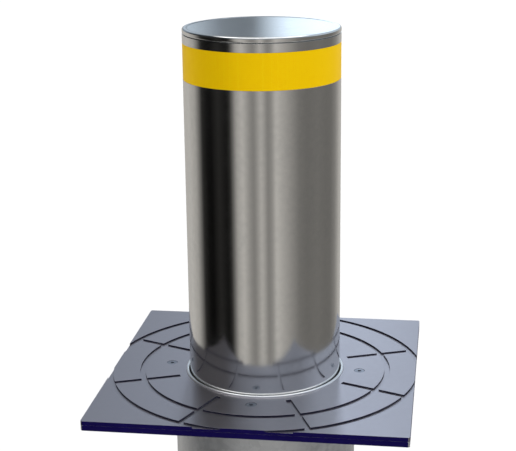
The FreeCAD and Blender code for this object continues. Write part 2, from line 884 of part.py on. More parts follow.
def concrete_anchors():
    """Bent straps on the casing that key it into the concrete."""
    straps = []
    reach, width, thick = size.anchor_reach, size.anchor_width, size.anchor_thickness
    for c, s in around(4, 45):
        turn = FreeCAD.Rotation(FreeCAD.Vector(0, 0, 1), math.degrees(math.atan2(s, c)))
        arm = block(reach, width, thick, (0, 0, 0))
        leg = block(thick, width, reach, (reach / 2 - thick / 2, 0, -reach))
        strap = fuse(arm, leg)
        middle = casing_radius + size.fit_gap + reach / 2
        strap.Placement = FreeCAD.Placement(FreeCAD.Vector(0, 0, 0), turn)
        for letter, value in zip("xyz", (middle * c, middle * s, -size.anchor_depth)):
            bind(strap, "Placement.Base." + letter, value)
        straps.append(strap)
    group("concrete_anchors", straps)


# ---------------------------------------------------------------- guide rods and ram

def guide_rods():
    foot = deck_bottom - size.rod_tail
    rods, nuts = [], []
    hole = size.rod_radius + size.fit_gap
    height = size.rod_nut_height
    for c, s in around(3, GUIDE_TURN):
        x, y = rod_circle * c, rod_circle * s
        rods.append(cylinder(size.rod_radius, rod_top - foot, (x, y, foot)))
        for bottom in (deck_top, deck_bottom - height):
            nuts.append(cut(hexagon(size.rod_nut_size, height, (x, y, bottom)),
                            cylinder(hole, height, (x, y, bottom))))
    group("guide_rods", rods)
    group("guide_rod_nuts", nuts)


def lower_buffers():
    group("lower_buffers", [
        cylinder(size.lower_buffer_radius, size.lower_buffer_height,
                 (rod_circle * c, rod_circle * s, deck_top))
        for c, s in around(3, BUFFER_TURN)])


def ram_foot():
    socket = size.ram_radius + size.fit_gap
    outside = socket + size.ram_socket_wall
    top = size.ram_foot_height + size.ram_socket_depth
    turned("ram_foot", [
        (size.pipe_radius, 0), (size.ram_foot_radius, 0),
        (size.ram_foot_radius, size.ram_foot_rim), (outside, size.ram_foot_rim), (outside, top),
        (socket, top), (socket, size.ram_foot_height), (size.pipe_radius, size.ram_foot_height),
    ], (0, 0, deck_top))


def ram_barrel():
    bore = size.ram_radius - size.ram_wall
    turned("ram_barrel", [(bore, 0), (size.ram_radius, 0), (size.ram_radius, ram_length),
                          (bore, ram_length)], (0, 0, ram_bottom))


def ram_gland():
    bore = size.piston_rod_radius + size.fit_gap
    spigot_radius = size.ram_radius - size.ram_wall - size.fit_gap
    head = size.ram_radius + size.gland_overhang
    top = size.gland_depth + size.gland_head
    groove = bore + size.rod_seal_wall
    groove_low = size.gland_depth + size.gland_lip
    groove_high = groove_low + size.rod_seal_height
    turned("ram_gland", [
        (bore, 0), (spigot_radius, 0), (spigot_radius, size.gland_depth),
        (head, size.gland_depth), (head, top), (bore, top), (bore, groove_high),
        (groove, groove_high), (groove, groove_low), (bore, groove_low),
    ], (0, 0, ram_top - size.gland_depth))


def rod_seal():
    inside = size.piston_rod_radius + size.slide_gap
    outside = size.piston_rod_radius + size.rod_seal_wall
    height = size.rod_seal_height - size.fit_gap * 2
    turned("rod_seal", [(inside, 0), (outside, 0), (outside, height), (inside, height)],
           (0, 0, ram_top + size.gland_lip + size.fit_gap))


# ---------------------------------------------------------------- pump unit

TEETH = 12
PRESSURE_ANGLE = math.radians(25)


def tooth_flank(base_radius, tip_radius, steps=5):
    """(radius, angle) along an involute from its base circle to the tooth's tip."""
    reach = math.sqrt((tip_radius / base_radius) ** 2 - 1)
    rolls = [reach * i / steps for i in range(steps + 1)]
    return [(base_radius * math.sqrt(1 + t * t), t - math.atan(t)) for t in rolls]


def gear_shape(first_tooth, backlash=0.2):
    """A spur gear about its own Z axis, with one tooth at first_tooth radians."""
    module = plain(size.gear_module)
    pitch = module * TEETH / 2
    tip, root = pitch + 0.8 * module, pitch - 1.15 * module
    base = pitch * math.cos(PRESSURE_ANGLE)
    at_pitch = math.tan(PRESSURE_ANGLE) - PRESSURE_ANGLE
    half_tooth = math.pi / (2 * TEETH) - backlash / (2 * pitch) + at_pitch

    def at(radius, angle):
        return FreeCAD.Vector(radius * math.cos(angle), radius * math.sin(angle), 0)

    edges = []
    for tooth in range(TEETH):
        middle = first_tooth + 2 * math.pi * tooth / TEETH
        later = middle + 2 * math.pi / TEETH
        up = [at(r, middle - half_tooth + a) for r, a in tooth_flank(base, tip)]
        down = [at(r, middle + half_tooth - a) for r, a in tooth_flank(base, tip)][::-1]
        foot, next_foot = at(root, middle + half_tooth), at(root, later - half_tooth)
        rise, fall = Part.BSplineCurve(), Part.BSplineCurve()
        rise.interpolate(up)
        fall.interpolate(down)
        edges += [
            Part.LineSegment(at(root, middle - half_tooth), up[0]).toShape(), rise.toShape(),
            Part.Arc(up[-1], at(tip, middle), down[0]).toShape(), fall.toShape(),
            Part.LineSegment(down[-1], foot).toShape(),
            Part.Arc(foot, at(root, middle + math.pi / TEETH), next_foot).toShape(),
        ]
    face = Part.Face(Part.Wire(edges))
    return face.extrude(FreeCAD.Vector(0, 0, plain(size.gear_width)))


def toothed_wheel(y, first_tooth):
    """One of the two meshing wheels of the oil pump, before it is bored or gets a shaft."""
    made = doc.addObject("Part::Feature", "toothed_wheel")
    made.Shape = gear_shape(first_tooth)
    return put(made, (-size.pump_offset, y, gear_bottom + size.fit_gap * 2))


def pump_gears():
    spacing = size.gear_module * TEETH
    x = -size.pump_offset
    bore = cylinder(size.shaft_radius + size.fit_gap / 5, size.gear_width * 2,
                    (x, 0, gear_bottom))
    finished(cut(toothed_wheel(0, math.pi / 2), bore), "drive_gear")
    foot = pump_bottom + size.pump_cover_thickness / 2 + size.fit_gap
    head = block_bottom - size.idler_end - size.fit_gap
    journal = cylinder(size.shaft_radius, head - foot, (x, spacing, foot))
    finished(fuse(toothed_wheel(spacing, -math.pi / 2 + math.pi / TEETH), journal),
             "idler_gear")


def pump_body():
    """Housing with two crossing bores for the gears, open at its foot, and its cover."""
    spacing = size.gear_module * TEETH
    tip = size.gear_module * (TEETH / 2 + 0.8) + size.gear_tip_gap
    shaft = size.shaft_radius + size.shaft_gap
    centre_y = spacing / 2
    length = tip * 2 + size.pump_wall * 2
    width = length + spacing
    depth = size.gear_width + size.fit_gap * 4
    x = -size.pump_offset
    body = block(length, width, size.pump_height, (x, centre_y, gear_bottom))
    cuts = [cylinder(tip, depth, (x, y, gear_bottom)) for y in (0, spacing)]
    cuts.append(cylinder(shaft, size.pump_height, (x, 0, gear_bottom)))
    cuts.append(cylinder(shaft, size.pump_height - size.idler_end, (x, spacing, gear_bottom)))
    finished(cut(body, *cuts), "pump_body")
    half = size.pump_cover_thickness / 2
    cover = block(length, width, size.pump_cover_thickness, (x, centre_y, pump_bottom))
    pockets = [cylinder(shaft, half, (x, y, pump_bottom + half)) for y in (0, spacing)]
    finished(cut(cover, *pockets), "pump_cover")
    group("pump_mounts", [
        cylinder(size.pump_mount_radius, size.pump_mount_height,
                 (x + size.pump_mount_spread * i, centre_y + size.pump_mount_reach * j, base_top))
        for j in (-1, 1) for i in (-1, 1)])


def valve_block():
    x = -size.pump_offset
    body = block(size.block_length, size.block_width, size.block_height, (x, 0, block_bottom))
    shaft_way = cylinder(size.shaft_radius + 1, size.block_height, (x, 0, block_bottom))
    side = size.block_width / 2
    port = cylinder(size.pipe_radius, 12, (x + size.port_shift, -side, block_middle), "+y")
    stem_way = cylinder(size.stem_radius + size.shaft_gap, 20,
                        (x - size.block_length / 2, 0, block_middle), "+x")
    finished(cut(body, shaft_way, port, stem_way), "valve_block")


def solenoid_coil():
    side = size.block_width / 2
    x = -size.pump_offset - size.valve_shift
    nose_length, plug_side, plug_height, sunk = 6, 22, 14, 2
    coil = cylinder(size.coil_radius, size.coil_length, (x, side, block_middle), "+y")
    nose = cylinder(size.coil_radius / 3, nose_length,
                    (x, side + size.coil_length, block_middle), "+y")
    plug = block(plug_side, plug_side, plug_height,
                 (x, side + size.coil_length / 2, block_middle + size.coil_radius - sunk))
    finished(fuse(coil, nose, plug), "solenoid_coil")


def relief_valve():
    side = size.block_width / 2
    x = -size.pump_offset - size.valve_shift
    nut_size, nut_height, stem_radius, stem_length = 17, 12, 5, 10
    body = hexagon(nut_size, nut_height, (x, -side, block_middle), "-y")
    stem = cylinder(stem_radius, stem_length, (x, -side - nut_height, block_middle), "-y")
    finished(fuse(body, stem), "relief_valve")


def lowering_knob():
    """Fluted hand knob of the valve that lets the ram down without power."""
    face = -size.pump_offset - size.block_length / 2
    start = face - size.knob_gap
    stem = cylinder(size.stem_radius, size.stem_length, (start - 1, 0, block_middle), "+x")
    grip = cylinder(size.knob_radius, size.knob_length,
                    (start - size.knob_length, 0, block_middle), "+x")
    flutes = []
    for c, s in around(8, 22.5):
        flutes.append(cylinder(
            size.flute_radius, size.knob_length,
            (start - size.knob_length, size.knob_radius * c, block_middle + size.knob_radius * s),
            "+x"))
    finished(fuse(cut(grip, *flutes), stem), "lowering_knob")


def pump_motor():
    x = -size.pump_offset
    outside, inside = size.motor_radius, size.motor_radius - size.motor_wall
    bearing = size.bearing_radius + size.fit_gap
    turned("motor_housing", [
        (bearing, 0), (outside, 0), (outside, size.motor_height), (inside, size.motor_height),
        (inside, size.motor_end), (bearing, size.motor_end),
    ], (x, 0, motor_bottom))
    turned("motor_end_cover", [
        (bearing, 0), (outside, 0), (outside, size.motor_end + size.motor_cover),
        (0, size.motor_end + size.motor_cover),
        (0, size.motor_end), (bearing, size.motor_end),
    ], (x, 0, motor_bottom + size.motor_height))
    around_rotor = size.rotor_radius + size.air_gap
    turned("stator_winding", [
        (around_rotor, 0), (inside - size.fit_gap, 0),
        (inside - size.fit_gap, size.rotor_length), (around_rotor, size.rotor_length),
    ], (x, 0, motor_bottom + size.motor_end + size.fit_gap))
    ends = (motor_bottom, motor_bottom + size.motor_height)
    group("motor_bearings", [
        cut(cylinder(size.bearing_radius, size.motor_end - size.fit_gap, (x, 0, z)),
            cylinder(size.shaft_radius + size.shaft_gap, size.motor_end, (x, 0, z)))
        for z in ends])


def motor_shaft():
    x = -size.pump_offset
    bottom = pump_bottom + size.pump_cover_thickness / 2 + size.fit_gap
    top = motor_bottom + size.motor_height + size.motor_end - size.fit_gap * 2
    turned("motor_shaft", [(0, 0), (size.shaft_radius, 0), (size.shaft_radius, top - bottom),
                           (0, top - bottom)], (x, 0, bottom))
    inside = size.shaft_radius + size.fit_gap / 5
    turned("rotor_core", [
        (inside, 0), (size.rotor_radius, 0), (size.rotor_radius, size.rotor_length),
        (inside, size.rotor_length),
    ], (x, 0, motor_bottom + size.motor_end + size.fit_gap))


def oil_tank():
    x = size.tank_offset + size.tank_length / 2
    wall = size.tank_wall
    outer = block(size.tank_length, size.tank_width, size.tank_height, (x, 0, base_top))
    inner = block(size.tank_length - wall * 2, size.tank_width - wall * 2,
                  size.tank_height - wall * 2, (x, 0, base_top + wall))
    port = cylinder(size.pipe_radius + size.fit_gap, 10,
                    (size.tank_offset - 2, 0, block_middle), "+x")
    top = base_top + size.tank_height
    neck = cylinder(size.filler_radius + size.fit_gap, wall, (x, 0, top - wall))
    finished(cut(outer, inner, port, neck), "oil_tank")
    plug, grip, depth = size.filler_radius, size.filler_cap_radius, size.filler_depth
    height = depth + size.filler_cap_height
    turned("filler_cap", [(0, 0), (plug, 0), (plug, depth), (grip, depth), (grip, height),
                          (0, height)], (x, 0, top - depth))


def pipes():
    """Pressure pipe from the valve block to the ram's foot, and the tank's suction pipe."""
    x = plain(size.port_shift) - plain(size.pump_offset)
    side = -plain(size.block_width) / 2
    level, under = plain(block_middle), plain(deck_bottom)
    clear, drop, bend = 26, 44, 14
    points = [(x, side, level), (x, side - clear, level), (x, side - clear, under - drop),
              (0, 0, under - drop), (0, 0, under)]
    bent_pipe("pressure_pipe", plain(size.pipe_radius - size.fit_gap),
              [FreeCAD.Vector(*p) for p in points], bend)
    gap_start = size.block_length / 2 - size.pump_offset
    length = size.tank_offset - gap_start + size.tank_wall
    finished(cylinder(size.pipe_radius, length, (gap_start, 0, block_middle), "+x"),
             "suction_pipe")


def ram_union():
    """Oil union that joins the pressure pipe to the ram's foot, through the deck."""
    foot = deck_bottom - size.union_drop
    solid = fuse(hexagon(size.union_size, size.union_drop, (0, 0, foot)),
                 cylinder(size.union_radius, size.deck_thickness, (0, 0, deck_bottom)))
    way = cylinder(size.pipe_radius, size.deck_thickness + size.union_drop, (0, 0, foot))
    finished(cut(solid, way), "ram_union")


# ---------------------------------------------------------------- wiring box and limit switches

def junction_box():
    """Sealed box hung under the deck beside the conduit, with its lid below."""
    wall = size.box_wall
    y = casing_bore - size.box_setback - size.box_width / 2
    bottom = deck_bottom - size.box_height
    outer = block(size.box_length, size.box_width, size.box_height, (0, y, bottom))
    inner = block(size.box_length - wall * 2, size.box_width - wall * 2,
                  size.box_height - wall, (0, y, bottom))
    face, middle = y + size.box_width / 2, bottom + size.box_height / 2
    thread_from = face - size.cable_thread_length
    hole = cylinder(size.cable_thread_radius + size.fit_gap, size.cable_thread_length,
                    (0, thread_from, middle), "+y")
    finished(cut(outer, inner, hole), "junction_box")
    finished(block(size.box_length, size.box_width, size.box_lid,
                   (0, y, bottom - size.box_lid)), "junction_box_lid")
    thread = cylinder(size.cable_thread_radius, size.cable_thread_length,
                      (0, thread_from, middle), "+y")
    nut = hexagon(size.cable_nut_size, size.cable_nut_height, (0, face, middle), "+y")
    way = cylinder(size.cable_way_radius, size.cable_thread_length + size.cable_nut_height,
                   (0, thread_from, middle), "+y")
    finished(cut(fuse(thread, nut), way), "cable_gland")


def limit_switches():
    """Inductive switches that see the crosshead at the top and at the bottom of its travel."""
    lower = cylinder(size.switch_radius, size.lower_buffer_height - size.switch_gap,
                     (tube_bore - size.lower_switch_setback, 0, deck_top))
    thick = size.bracket_thickness
    plate_at = rod_top - thick
    switch_y = size.rod_inset - rod_circle
    width = size.bracket_width
    plate = block(width, size.rod_inset + width, thick,
                  (0, switch_y - size.rod_inset / 2, plate_at))
    plate_holes = [
        cylinder(size.rod_radius + size.fit_gap, thick, (0, -rod_circle, plate_at)),
        cylinder(size.switch_radius + size.fit_gap, thick, (0, switch_y, plate_at))]
    finished(cut(plate, *plate_holes), "switch_bracket")
    foot = tube_bottom + size.crosshead_thickness + size.switch_gap
    upper = cylinder(size.switch_radius, rod_top + size.switch_tail - foot,
                     (0, switch_y, foot))
    group("limit_switches", [lower, upper])


# ---------------------------------------------------------------- build, check, write

def build():
    for make in (bollard_tube, reflective_band, top_cap, lift_plate, skirt_flange,
                 lower_guide_ring, stop_buffer, crosshead, guide_bushes, ram_rod, ram_piston,
                 piston_seal, rod_nut, cover_plate, cover_screws, bore_trim_ring, wiper_seal,
                 upper_guide_bush, guide_housing, casing_flange):
        make()
    drum("casing_tube", deck_top, size.flange_thickness)
    for make in (sump_drum, pipe_spigots, joint_flanges, joint_bolts, pump_deck, base_plate,
                 concrete_anchors, guide_rods, lower_buffers, ram_foot, ram_barrel, ram_gland,
                 rod_seal, ram_union, pump_gears, pump_body, valve_block, solenoid_coil,
                 relief_valve, lowering_knob, pump_motor, motor_shaft, oil_tank, pipes,
                 junction_box, limit_switches):
        make()
    doc.recompute()


def check():
    for thing in doc.Objects:
        if "Invalid" in thing.State or "Error" in thing.State:
            raise RuntimeError(f"{thing.Label} ({thing.Name}) failed: {thing.State}")
    for part in SUBPARTS:
        if part.Shape.isNull() or not part.Shape.isValid() or not part.Shape.Solids:
            raise RuntimeError(f"{part.Label} has no valid solid")


def write():
    os.makedirs("parts", exist_ok=True)
    for part in SUBPARTS:
        part.Shape.exportStep(f"parts/{part.Label}.step")
    print(len(SUBPARTS), "sub-parts,", sum(len(p.Shape.Solids) for p in SUBPARTS), "solids")


build()
check()
write()
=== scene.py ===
# %% [markdown]
# # A retractable bollard
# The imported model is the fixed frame. Everything that is added here is measured from its boxes, in
# metres, and rides on one of its bodies. The origin is on the tube's axis, at pavement level.

# %% Load the frame
import json
import math
import bpy
from mathutils import Matrix, Vector


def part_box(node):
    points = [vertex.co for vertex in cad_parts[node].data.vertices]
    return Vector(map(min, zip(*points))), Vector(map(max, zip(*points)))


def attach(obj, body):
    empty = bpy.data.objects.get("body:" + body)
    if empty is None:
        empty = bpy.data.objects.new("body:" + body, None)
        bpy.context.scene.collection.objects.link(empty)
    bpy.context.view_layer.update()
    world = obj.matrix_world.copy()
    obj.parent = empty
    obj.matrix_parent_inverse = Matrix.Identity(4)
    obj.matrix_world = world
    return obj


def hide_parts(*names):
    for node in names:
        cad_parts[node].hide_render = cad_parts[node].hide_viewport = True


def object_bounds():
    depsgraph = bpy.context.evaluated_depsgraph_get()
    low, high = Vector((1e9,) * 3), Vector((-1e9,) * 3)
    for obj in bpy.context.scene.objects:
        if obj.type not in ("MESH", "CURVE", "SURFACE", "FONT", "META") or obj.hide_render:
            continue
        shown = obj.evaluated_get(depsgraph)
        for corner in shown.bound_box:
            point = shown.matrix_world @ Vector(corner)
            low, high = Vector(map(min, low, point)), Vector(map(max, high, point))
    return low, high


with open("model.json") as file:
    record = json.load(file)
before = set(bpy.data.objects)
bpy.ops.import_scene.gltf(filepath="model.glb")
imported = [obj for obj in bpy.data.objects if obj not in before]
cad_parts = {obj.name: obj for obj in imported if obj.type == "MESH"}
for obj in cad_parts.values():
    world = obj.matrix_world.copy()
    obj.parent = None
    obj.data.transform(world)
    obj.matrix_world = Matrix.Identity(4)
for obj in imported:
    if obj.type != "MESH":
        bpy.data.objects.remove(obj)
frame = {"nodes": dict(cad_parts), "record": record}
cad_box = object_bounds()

MM = 0.001
FIT = 0.1 * MM                        # the gap between pieces that seat in each other
nodes = frame["nodes"]

# %% [markdown]
# ## Camera
# A long lens a couple of metres off gives the flat perspective of a catalogue picture. The camera is
# turned by three angles: its heading round the upright axis, its tilt down, and a small roll.

# %% Camera
CAMERA_PLACE = Vector((0.2584, -1.8173, 0.7633))
CAMERA_HEADING, CAMERA_TILT, CAMERA_ROLL = (math.radians(a) for a in (-8.34, 16.20, -0.65))

bpy.ops.object.camera_add(location=CAMERA_PLACE)
camera = bpy.context.object
camera.name = "camera"
camera.data.lens = 93.42
camera.data.clip_end = 200
heading = Matrix.Rotation(-CAMERA_HEADING, 4, "Z")
tilt = Matrix.Rotation(math.pi / 2 - CAMERA_TILT, 4, "X")
roll = Matrix.Rotation(CAMERA_ROLL, 4, "Z")
camera.matrix_world = Matrix.Translation(CAMERA_PLACE) @ heading @ tilt @ roll
bpy.context.scene.camera = camera
print("camera: lens", camera.data.lens, "mm at", tuple(CAMERA_PLACE))

# %% [markdown]
# ## Floor
# The casing stands on a pale floor, so the whole product shows from every side. Polished steel mirrors
# whatever is below the horizon as well as above it. The floor is kept out of its reflections, and the
# studio's cards, which the world paints, are what it mirrors instead.

# %% Floor
FLOOR_HALF = 40.0
bpy.ops.mesh.primitive_plane_add(size=2 * FLOOR_HALF, location=(0, 0, cad_box[0][2]))
floor = bpy.context.object
floor.name = "floor"
floor.visible_glossy = False
floor_paint = bpy.data.materials.new("floor_paint")
floor_paint.use_nodes = True
paint = floor_paint.node_tree.nodes["Principled BSDF"]
paint.inputs["Base Color"].default_value = (0.93, 0.93, 0.93, 1)
paint.inputs["Roughness"].default_value = 0.9
paint.inputs["Specular IOR Level"].default_value = 0.0
floor.data.materials.append(floor_paint)

# %% [markdown]
# ## Light
# A studio photographer lights polished tube with cards: white ones give the bright stripes and black
# ones the dark stripes between them. They stand upright all round, so a ramp over the compass angle
# paints them. Only glossy rays see the cards. Everything else is lit by a plain white sky.

# %% Studio cards round the compass
# Angle in degrees from straight in front, positive to the right, and the grey value there.
CARDS = [
    (-180, 0.52), (-150, 0.46), (-128, 0.50), (-108, 0.38), (-99, 0.19), (-91, 0.020), (-80, 0.004),
    (-72, 0.002), (-59, 0.018), (-46, 0.004), (-40, 0.018), (-35, 0.16), (-30, 0.38), (-21, 0.48),
    (-11, 0.28), (-5, 0.21), (1, 0.34), (5, 0.46), (9, 0.38), (15, 0.21), (21, 0.28), (27, 0.50),
    (38, 0.38), (50, 0.27), (62, 0.175), (75, 0.150), (96, 0.165), (113, 0.150), (126, 0.155),
    (140, 0.23), (160, 0.46),
]
SKY_STRENGTH = 1.12
SKY_LEAN = 0.7                        # how much brighter the diffuse light is from the right
UPPER_CARDS = [
    (-180, 0.66), (-177, 1.30), (-173.2, 1.60), (-172.5, 0.60), (-172.1, 0.30), (-171.5, 0.17),
    (-170.3, 0.13), (-169.7, 0.60), (-169, 0.74), (-166, 0.34), (-140, 0.34), (-124, 0.08),
    (-112, 0.02), (-52, 0.03), (-42, 0.16), (-12, 0.34), (12, 0.44), (60, 0.36), (96, 0.66),
    (140, 0.66), (172, 0.60),
]
SOFTBOX = 2.6                         # the ring of light overhead, which rounded rims catch
ZENITH = 0.6                          # the grey ceiling inside that ring
SKY_TINT = (0.72, 0.855, 1.0, 1)       # the upper cards are cooler
GROUND_TINT = (1.0, 0.965, 0.91, 1)   # the cards' faint warmth


def math_node(tree, operation, *values):
    """A Math node with each input linked or set."""
    node = tree.nodes.new("ShaderNodeMath")
    node.operation = operation
    for socket, value in zip(node.inputs, values):
        if isinstance(value, bpy.types.NodeSocket):
            tree.links.new(value, socket)
        else:
            socket.default_value = value
    return node.outputs[0]


def spread(tree, value, low, high, to_low, to_high):
    """Maps a value from one range to another, and clamps it."""
    made = tree.nodes.new("ShaderNodeMapRange")
    for socket, number in zip(made.inputs[1:5], (low, high, to_low, to_high)):
        socket.default_value = number
    tree.links.new(value, made.inputs[0])
    return made.outputs[0]


def card_ramp(tree, turn, cards, tint):
    """A ramp round the compass with one stop per card, tinted."""
    made = tree.nodes.new("ShaderNodeValToRGB")
    ramp = made.color_ramp
    ramp.elements.remove(ramp.elements[1])
    for start, grey in cards:
        place = (start + 180) / 360
        stop = ramp.elements.new(place) if place > 0 else ramp.elements[0]
        stop.position = place
        stop.color = (grey, grey, grey, 1)
    tree.links.new(turn, made.inputs[0])
    tinted = tree.nodes.new("ShaderNodeMix")
    tinted.data_type = "RGBA"
    tinted.blend_type = "MULTIPLY"
    tinted.inputs["Factor"].default_value = 1.0
    tree.links.new(made.outputs[0], tinted.inputs[6])
    tinted.inputs[7].default_value = tint
    return tinted.outputs[2]


def studio_world():
    world = bpy.data.worlds.new("studio")
    bpy.context.scene.world = world
    world.use_nodes = True
    tree = world.node_tree
    tree.nodes.clear()
    direction = tree.nodes.new("ShaderNodeTexCoord").outputs["Generated"]
    parts = tree.nodes.new("ShaderNodeSeparateXYZ")
    tree.links.new(direction, parts.inputs[0])
    back = math_node(tree, "MULTIPLY", parts.outputs["Y"], -1.0)
    angle = math_node(tree, "ARCTAN2", parts.outputs["X"], back)
    turn = math_node(tree, "MULTIPLY_ADD", angle, 1 / (2 * math.pi), 0.5)
    lower = card_ramp(tree, turn, CARDS, GROUND_TINT)
    upper_cards = card_ramp(tree, turn, UPPER_CARDS, SKY_TINT)
    above = math_node(tree, "MULTIPLY_ADD", parts.outputs["Z"], 16.0, -0.6)
    above_clamped = math_node(tree, "MINIMUM", math_node(tree, "MAXIMUM", above, 0.0), 1.0)
    upper = tree.nodes.new("ShaderNodeMix")
    upper.data_type = "RGBA"
    tree.links.new(above_clamped, upper.inputs["Factor"])
    tree.links.new(lower, upper.inputs[6])
    tree.links.new(upper_cards, upper.inputs[7])
    overhead = tree.nodes.new("ShaderNodeMix")
    overhead.data_type = "RGBA"
    ceiling = spread(tree, parts.outputs["Z"], 0.90, 0.95, SOFTBOX, ZENITH)
    tree.links.new(ceiling, overhead.inputs[7])
    tree.links.new(spread(tree, parts.outputs["Z"], 0.78, 0.86, 0, 1), overhead.inputs["Factor"])
    tree.links.new(upper.outputs[2], overhead.inputs[6])
    rays = tree.nodes.new("ShaderNodeLightPath")
    mirrored = tree.nodes.new("ShaderNodeBackground")
    tree.links.new(overhead.outputs[2], mirrored.inputs["Color"])
    plain = tree.nodes.new("ShaderNodeBackground")
    plain.inputs["Color"].default_value = (1, 1, 1, 1)
    lean = math_node(tree, "MULTIPLY", parts.outputs["X"], SKY_STRENGTH * SKY_LEAN)
    lean_diffuse = math_node(tree, "MULTIPLY", lean, rays.outputs["Is Diffuse Ray"])
    strength = math_node(tree, "ADD", lean_diffuse, SKY_STRENGTH)
    tree.links.new(strength, plain.inputs["Strength"])
    choose = tree.nodes.new("ShaderNodeMixShader")
    tree.links.new(rays.outputs["Is Glossy Ray"], choose.inputs[0])
    tree.links.new(plain.outputs[0], choose.inputs[1])
    tree.links.new(mirrored.outputs[0], choose.inputs[2])
    output = tree.nodes.new("ShaderNodeOutputWorld")
    tree.links.new(choose.outputs[0], output.inputs[0])


studio_world()
bpy.context.scene.view_settings.view_transform = "Standard"
bpy.context.scene.view_settings.look = "None"
print("studio:", len(CARDS), "cards")

# %% [markdown]
# ## Effects that several finishes share
# A node group is built once and used in many materials. Each group here puts out only values, colours
# or normals. The steel, the paint and the plastic themselves stay in each material.

# %% Node group helpers


def new_group(name, inputs, outputs):
    """A shader group with (name, kind, default) inputs and (name, kind) outputs."""
    group = bpy.data.node_groups.new(name, "ShaderNodeTree")
    for label, kind, default in inputs:
        made = group.interface.new_socket(label, in_out="INPUT", socket_type="NodeSocket" + kind)
        if default is not None:
            made.default_value = default
    for label, kind in outputs:
        group.interface.new_socket(label, in_out="OUTPUT", socket_type="NodeSocket" + kind)
    return group, group.nodes.new("NodeGroupInput"), group.nodes.new("NodeGroupOutput")


def stretched(tree, stretch):
    """Object coordinates with each axis multiplied, which draws a pattern out along the others."""
    where = tree.nodes.new("ShaderNodeTexCoord")
    mapping = tree.nodes.new("ShaderNodeMapping")
    mapping.inputs["Scale"].default_value = stretch
    tree.links.new(where.outputs["Object"], mapping.inputs["Vector"])
    return mapping.outputs[0]


def noise(tree, scale, detail=3.0, stretch=(1, 1, 1), roughness=0.55):
    made = tree.nodes.new("ShaderNodeTexNoise")
    made.inputs["Scale"].default_value = scale
    made.inputs["Detail"].default_value = detail
    made.inputs["Roughness"].default_value = roughness
    tree.links.new(stretched(tree, stretch), made.inputs["Vector"])
    return made.outputs["Fac"]


# %% Group: roughness that varies, as handling and cleaning leave it


def smudge_group():
    group, given, out = new_group(
        "smudges", [("Roughness", "Float", 0.2), ("Amount", "Float", 0.1)],
        [("Roughness", "Float"), ("Mask", "Float")])
    broad = noise(group, 9, 4)
    fine = noise(group, 120, 3)
    both = math_node(group, "MULTIPLY", broad, fine)
    mask = spread(group, both, 0.18, 0.38, 0, 1)
    change = math_node(group, "MULTIPLY", mask, given.outputs["Amount"])
    total = math_node(group, "ADD", given.outputs["Roughness"], change)
    group.links.new(total, out.inputs["Roughness"])
    group.links.new(mask, out.inputs["Mask"])
    return group


# %% Group: edges that wear bright or chip


WEAR_REACH = 1.2 * MM                 # how far from an edge the wear spreads


def wear_group():
    """Near an edge the Bevel node's rounded normal parts from the true one."""
    group, given, out = new_group(
        "edge_wear", [("Amount", "Float", 0.5)], [("Mask", "Float")])
    rounder = group.nodes.new("ShaderNodeBevel")
    rounder.samples = 6
    rounder.inputs["Radius"].default_value = WEAR_REACH
    agree = group.nodes.new("ShaderNodeVectorMath")
    agree.operation = "DOT_PRODUCT"
    group.links.new(rounder.outputs["Normal"], agree.inputs[0])
    group.links.new(group.nodes.new("ShaderNodeNewGeometry").outputs["Normal"], agree.inputs[1])
    edge = spread(group, agree.outputs["Value"], 0.97, 0.82, 0, 1)
    broken = spread(group, noise(group, 160, 4), 0.42, 0.62, 0, 1)
    mask = math_node(group, "MULTIPLY", math_node(group, "MULTIPLY", edge, broken),
                     given.outputs["Amount"])
    group.links.new(mask, out.inputs["Mask"])
    return group


# %% Group: fine lines left by turning, polishing or brushing


def line_group(name, scale, stretch):
    """Lines along the axis whose stretch is small."""
    group, given, out = new_group(
        name, [("Depth", "Float", 0.1)], [("Normal", "Vector")])
    lines = noise(group, scale, 5, stretch, 0.7)
    bump = group.nodes.new("ShaderNodeBump")
    bump.inputs["Distance"].default_value = 0.0002
    group.links.new(given.outputs["Depth"], bump.inputs["Strength"])
    group.links.new(lines, bump.inputs["Height"])
    group.links.new(bump.outputs[0], out.inputs["Normal"])
    return group


# %% Group: the crystals of hot-dip zinc


def spangle_group():
    group, given, out = new_group(
        "zinc_spangle", [("Scale", "Float", 90.0)], [("Shade", "Float"), ("Edge", "Float")])
    cells = group.nodes.new("ShaderNodeTexVoronoi")
    group.links.new(stretched(group, (1, 1, 1)), cells.inputs["Vector"])
    group.links.new(given.outputs["Scale"], cells.inputs["Scale"])
    split = group.nodes.new("ShaderNodeSeparateColor")
    group.links.new(cells.outputs["Color"], split.inputs[0])
    edges = group.nodes.new("ShaderNodeTexVoronoi")
    edges.feature = "DISTANCE_TO_EDGE"
    group.links.new(stretched(group, (1, 1, 1)), edges.inputs["Vector"])
    group.links.new(given.outputs["Scale"], edges.inputs["Scale"])
    group.links.new(split.outputs[0], out.inputs["Shade"])
    group.links.new(spread(group, edges.outputs["Distance"], 0, 0.08, 1, 0), out.inputs["Edge"])
    return group


GROUPS = {
    "smudges": smudge_group(),
    "wear": wear_group(),
    "polish_lines": line_group("polish_lines", 60, (1, 1, 60)),
    "brush_lines": line_group("brush_lines", 40, (1, 50, 1)),
    "grain": line_group("cast_grain", 900, (1, 1, 1)),
    "pebble": line_group("moulded_pebble", 420, (1, 1, 1)),
    "spangle": spangle_group(),
}
print("shared effects:", ", ".join(GROUPS))

# %% [markdown]
# ## Finishes
# Each finish is a Principled shader whose colour and roughness vary through the shared groups. The
# helper below lays out what all of them have: a base colour that a mask breaks up, worn edges, and a
# fine surface texture.

# %% Finish builder
EDGE_WEAR = 0.6                       # how far a worn edge's own colour shows


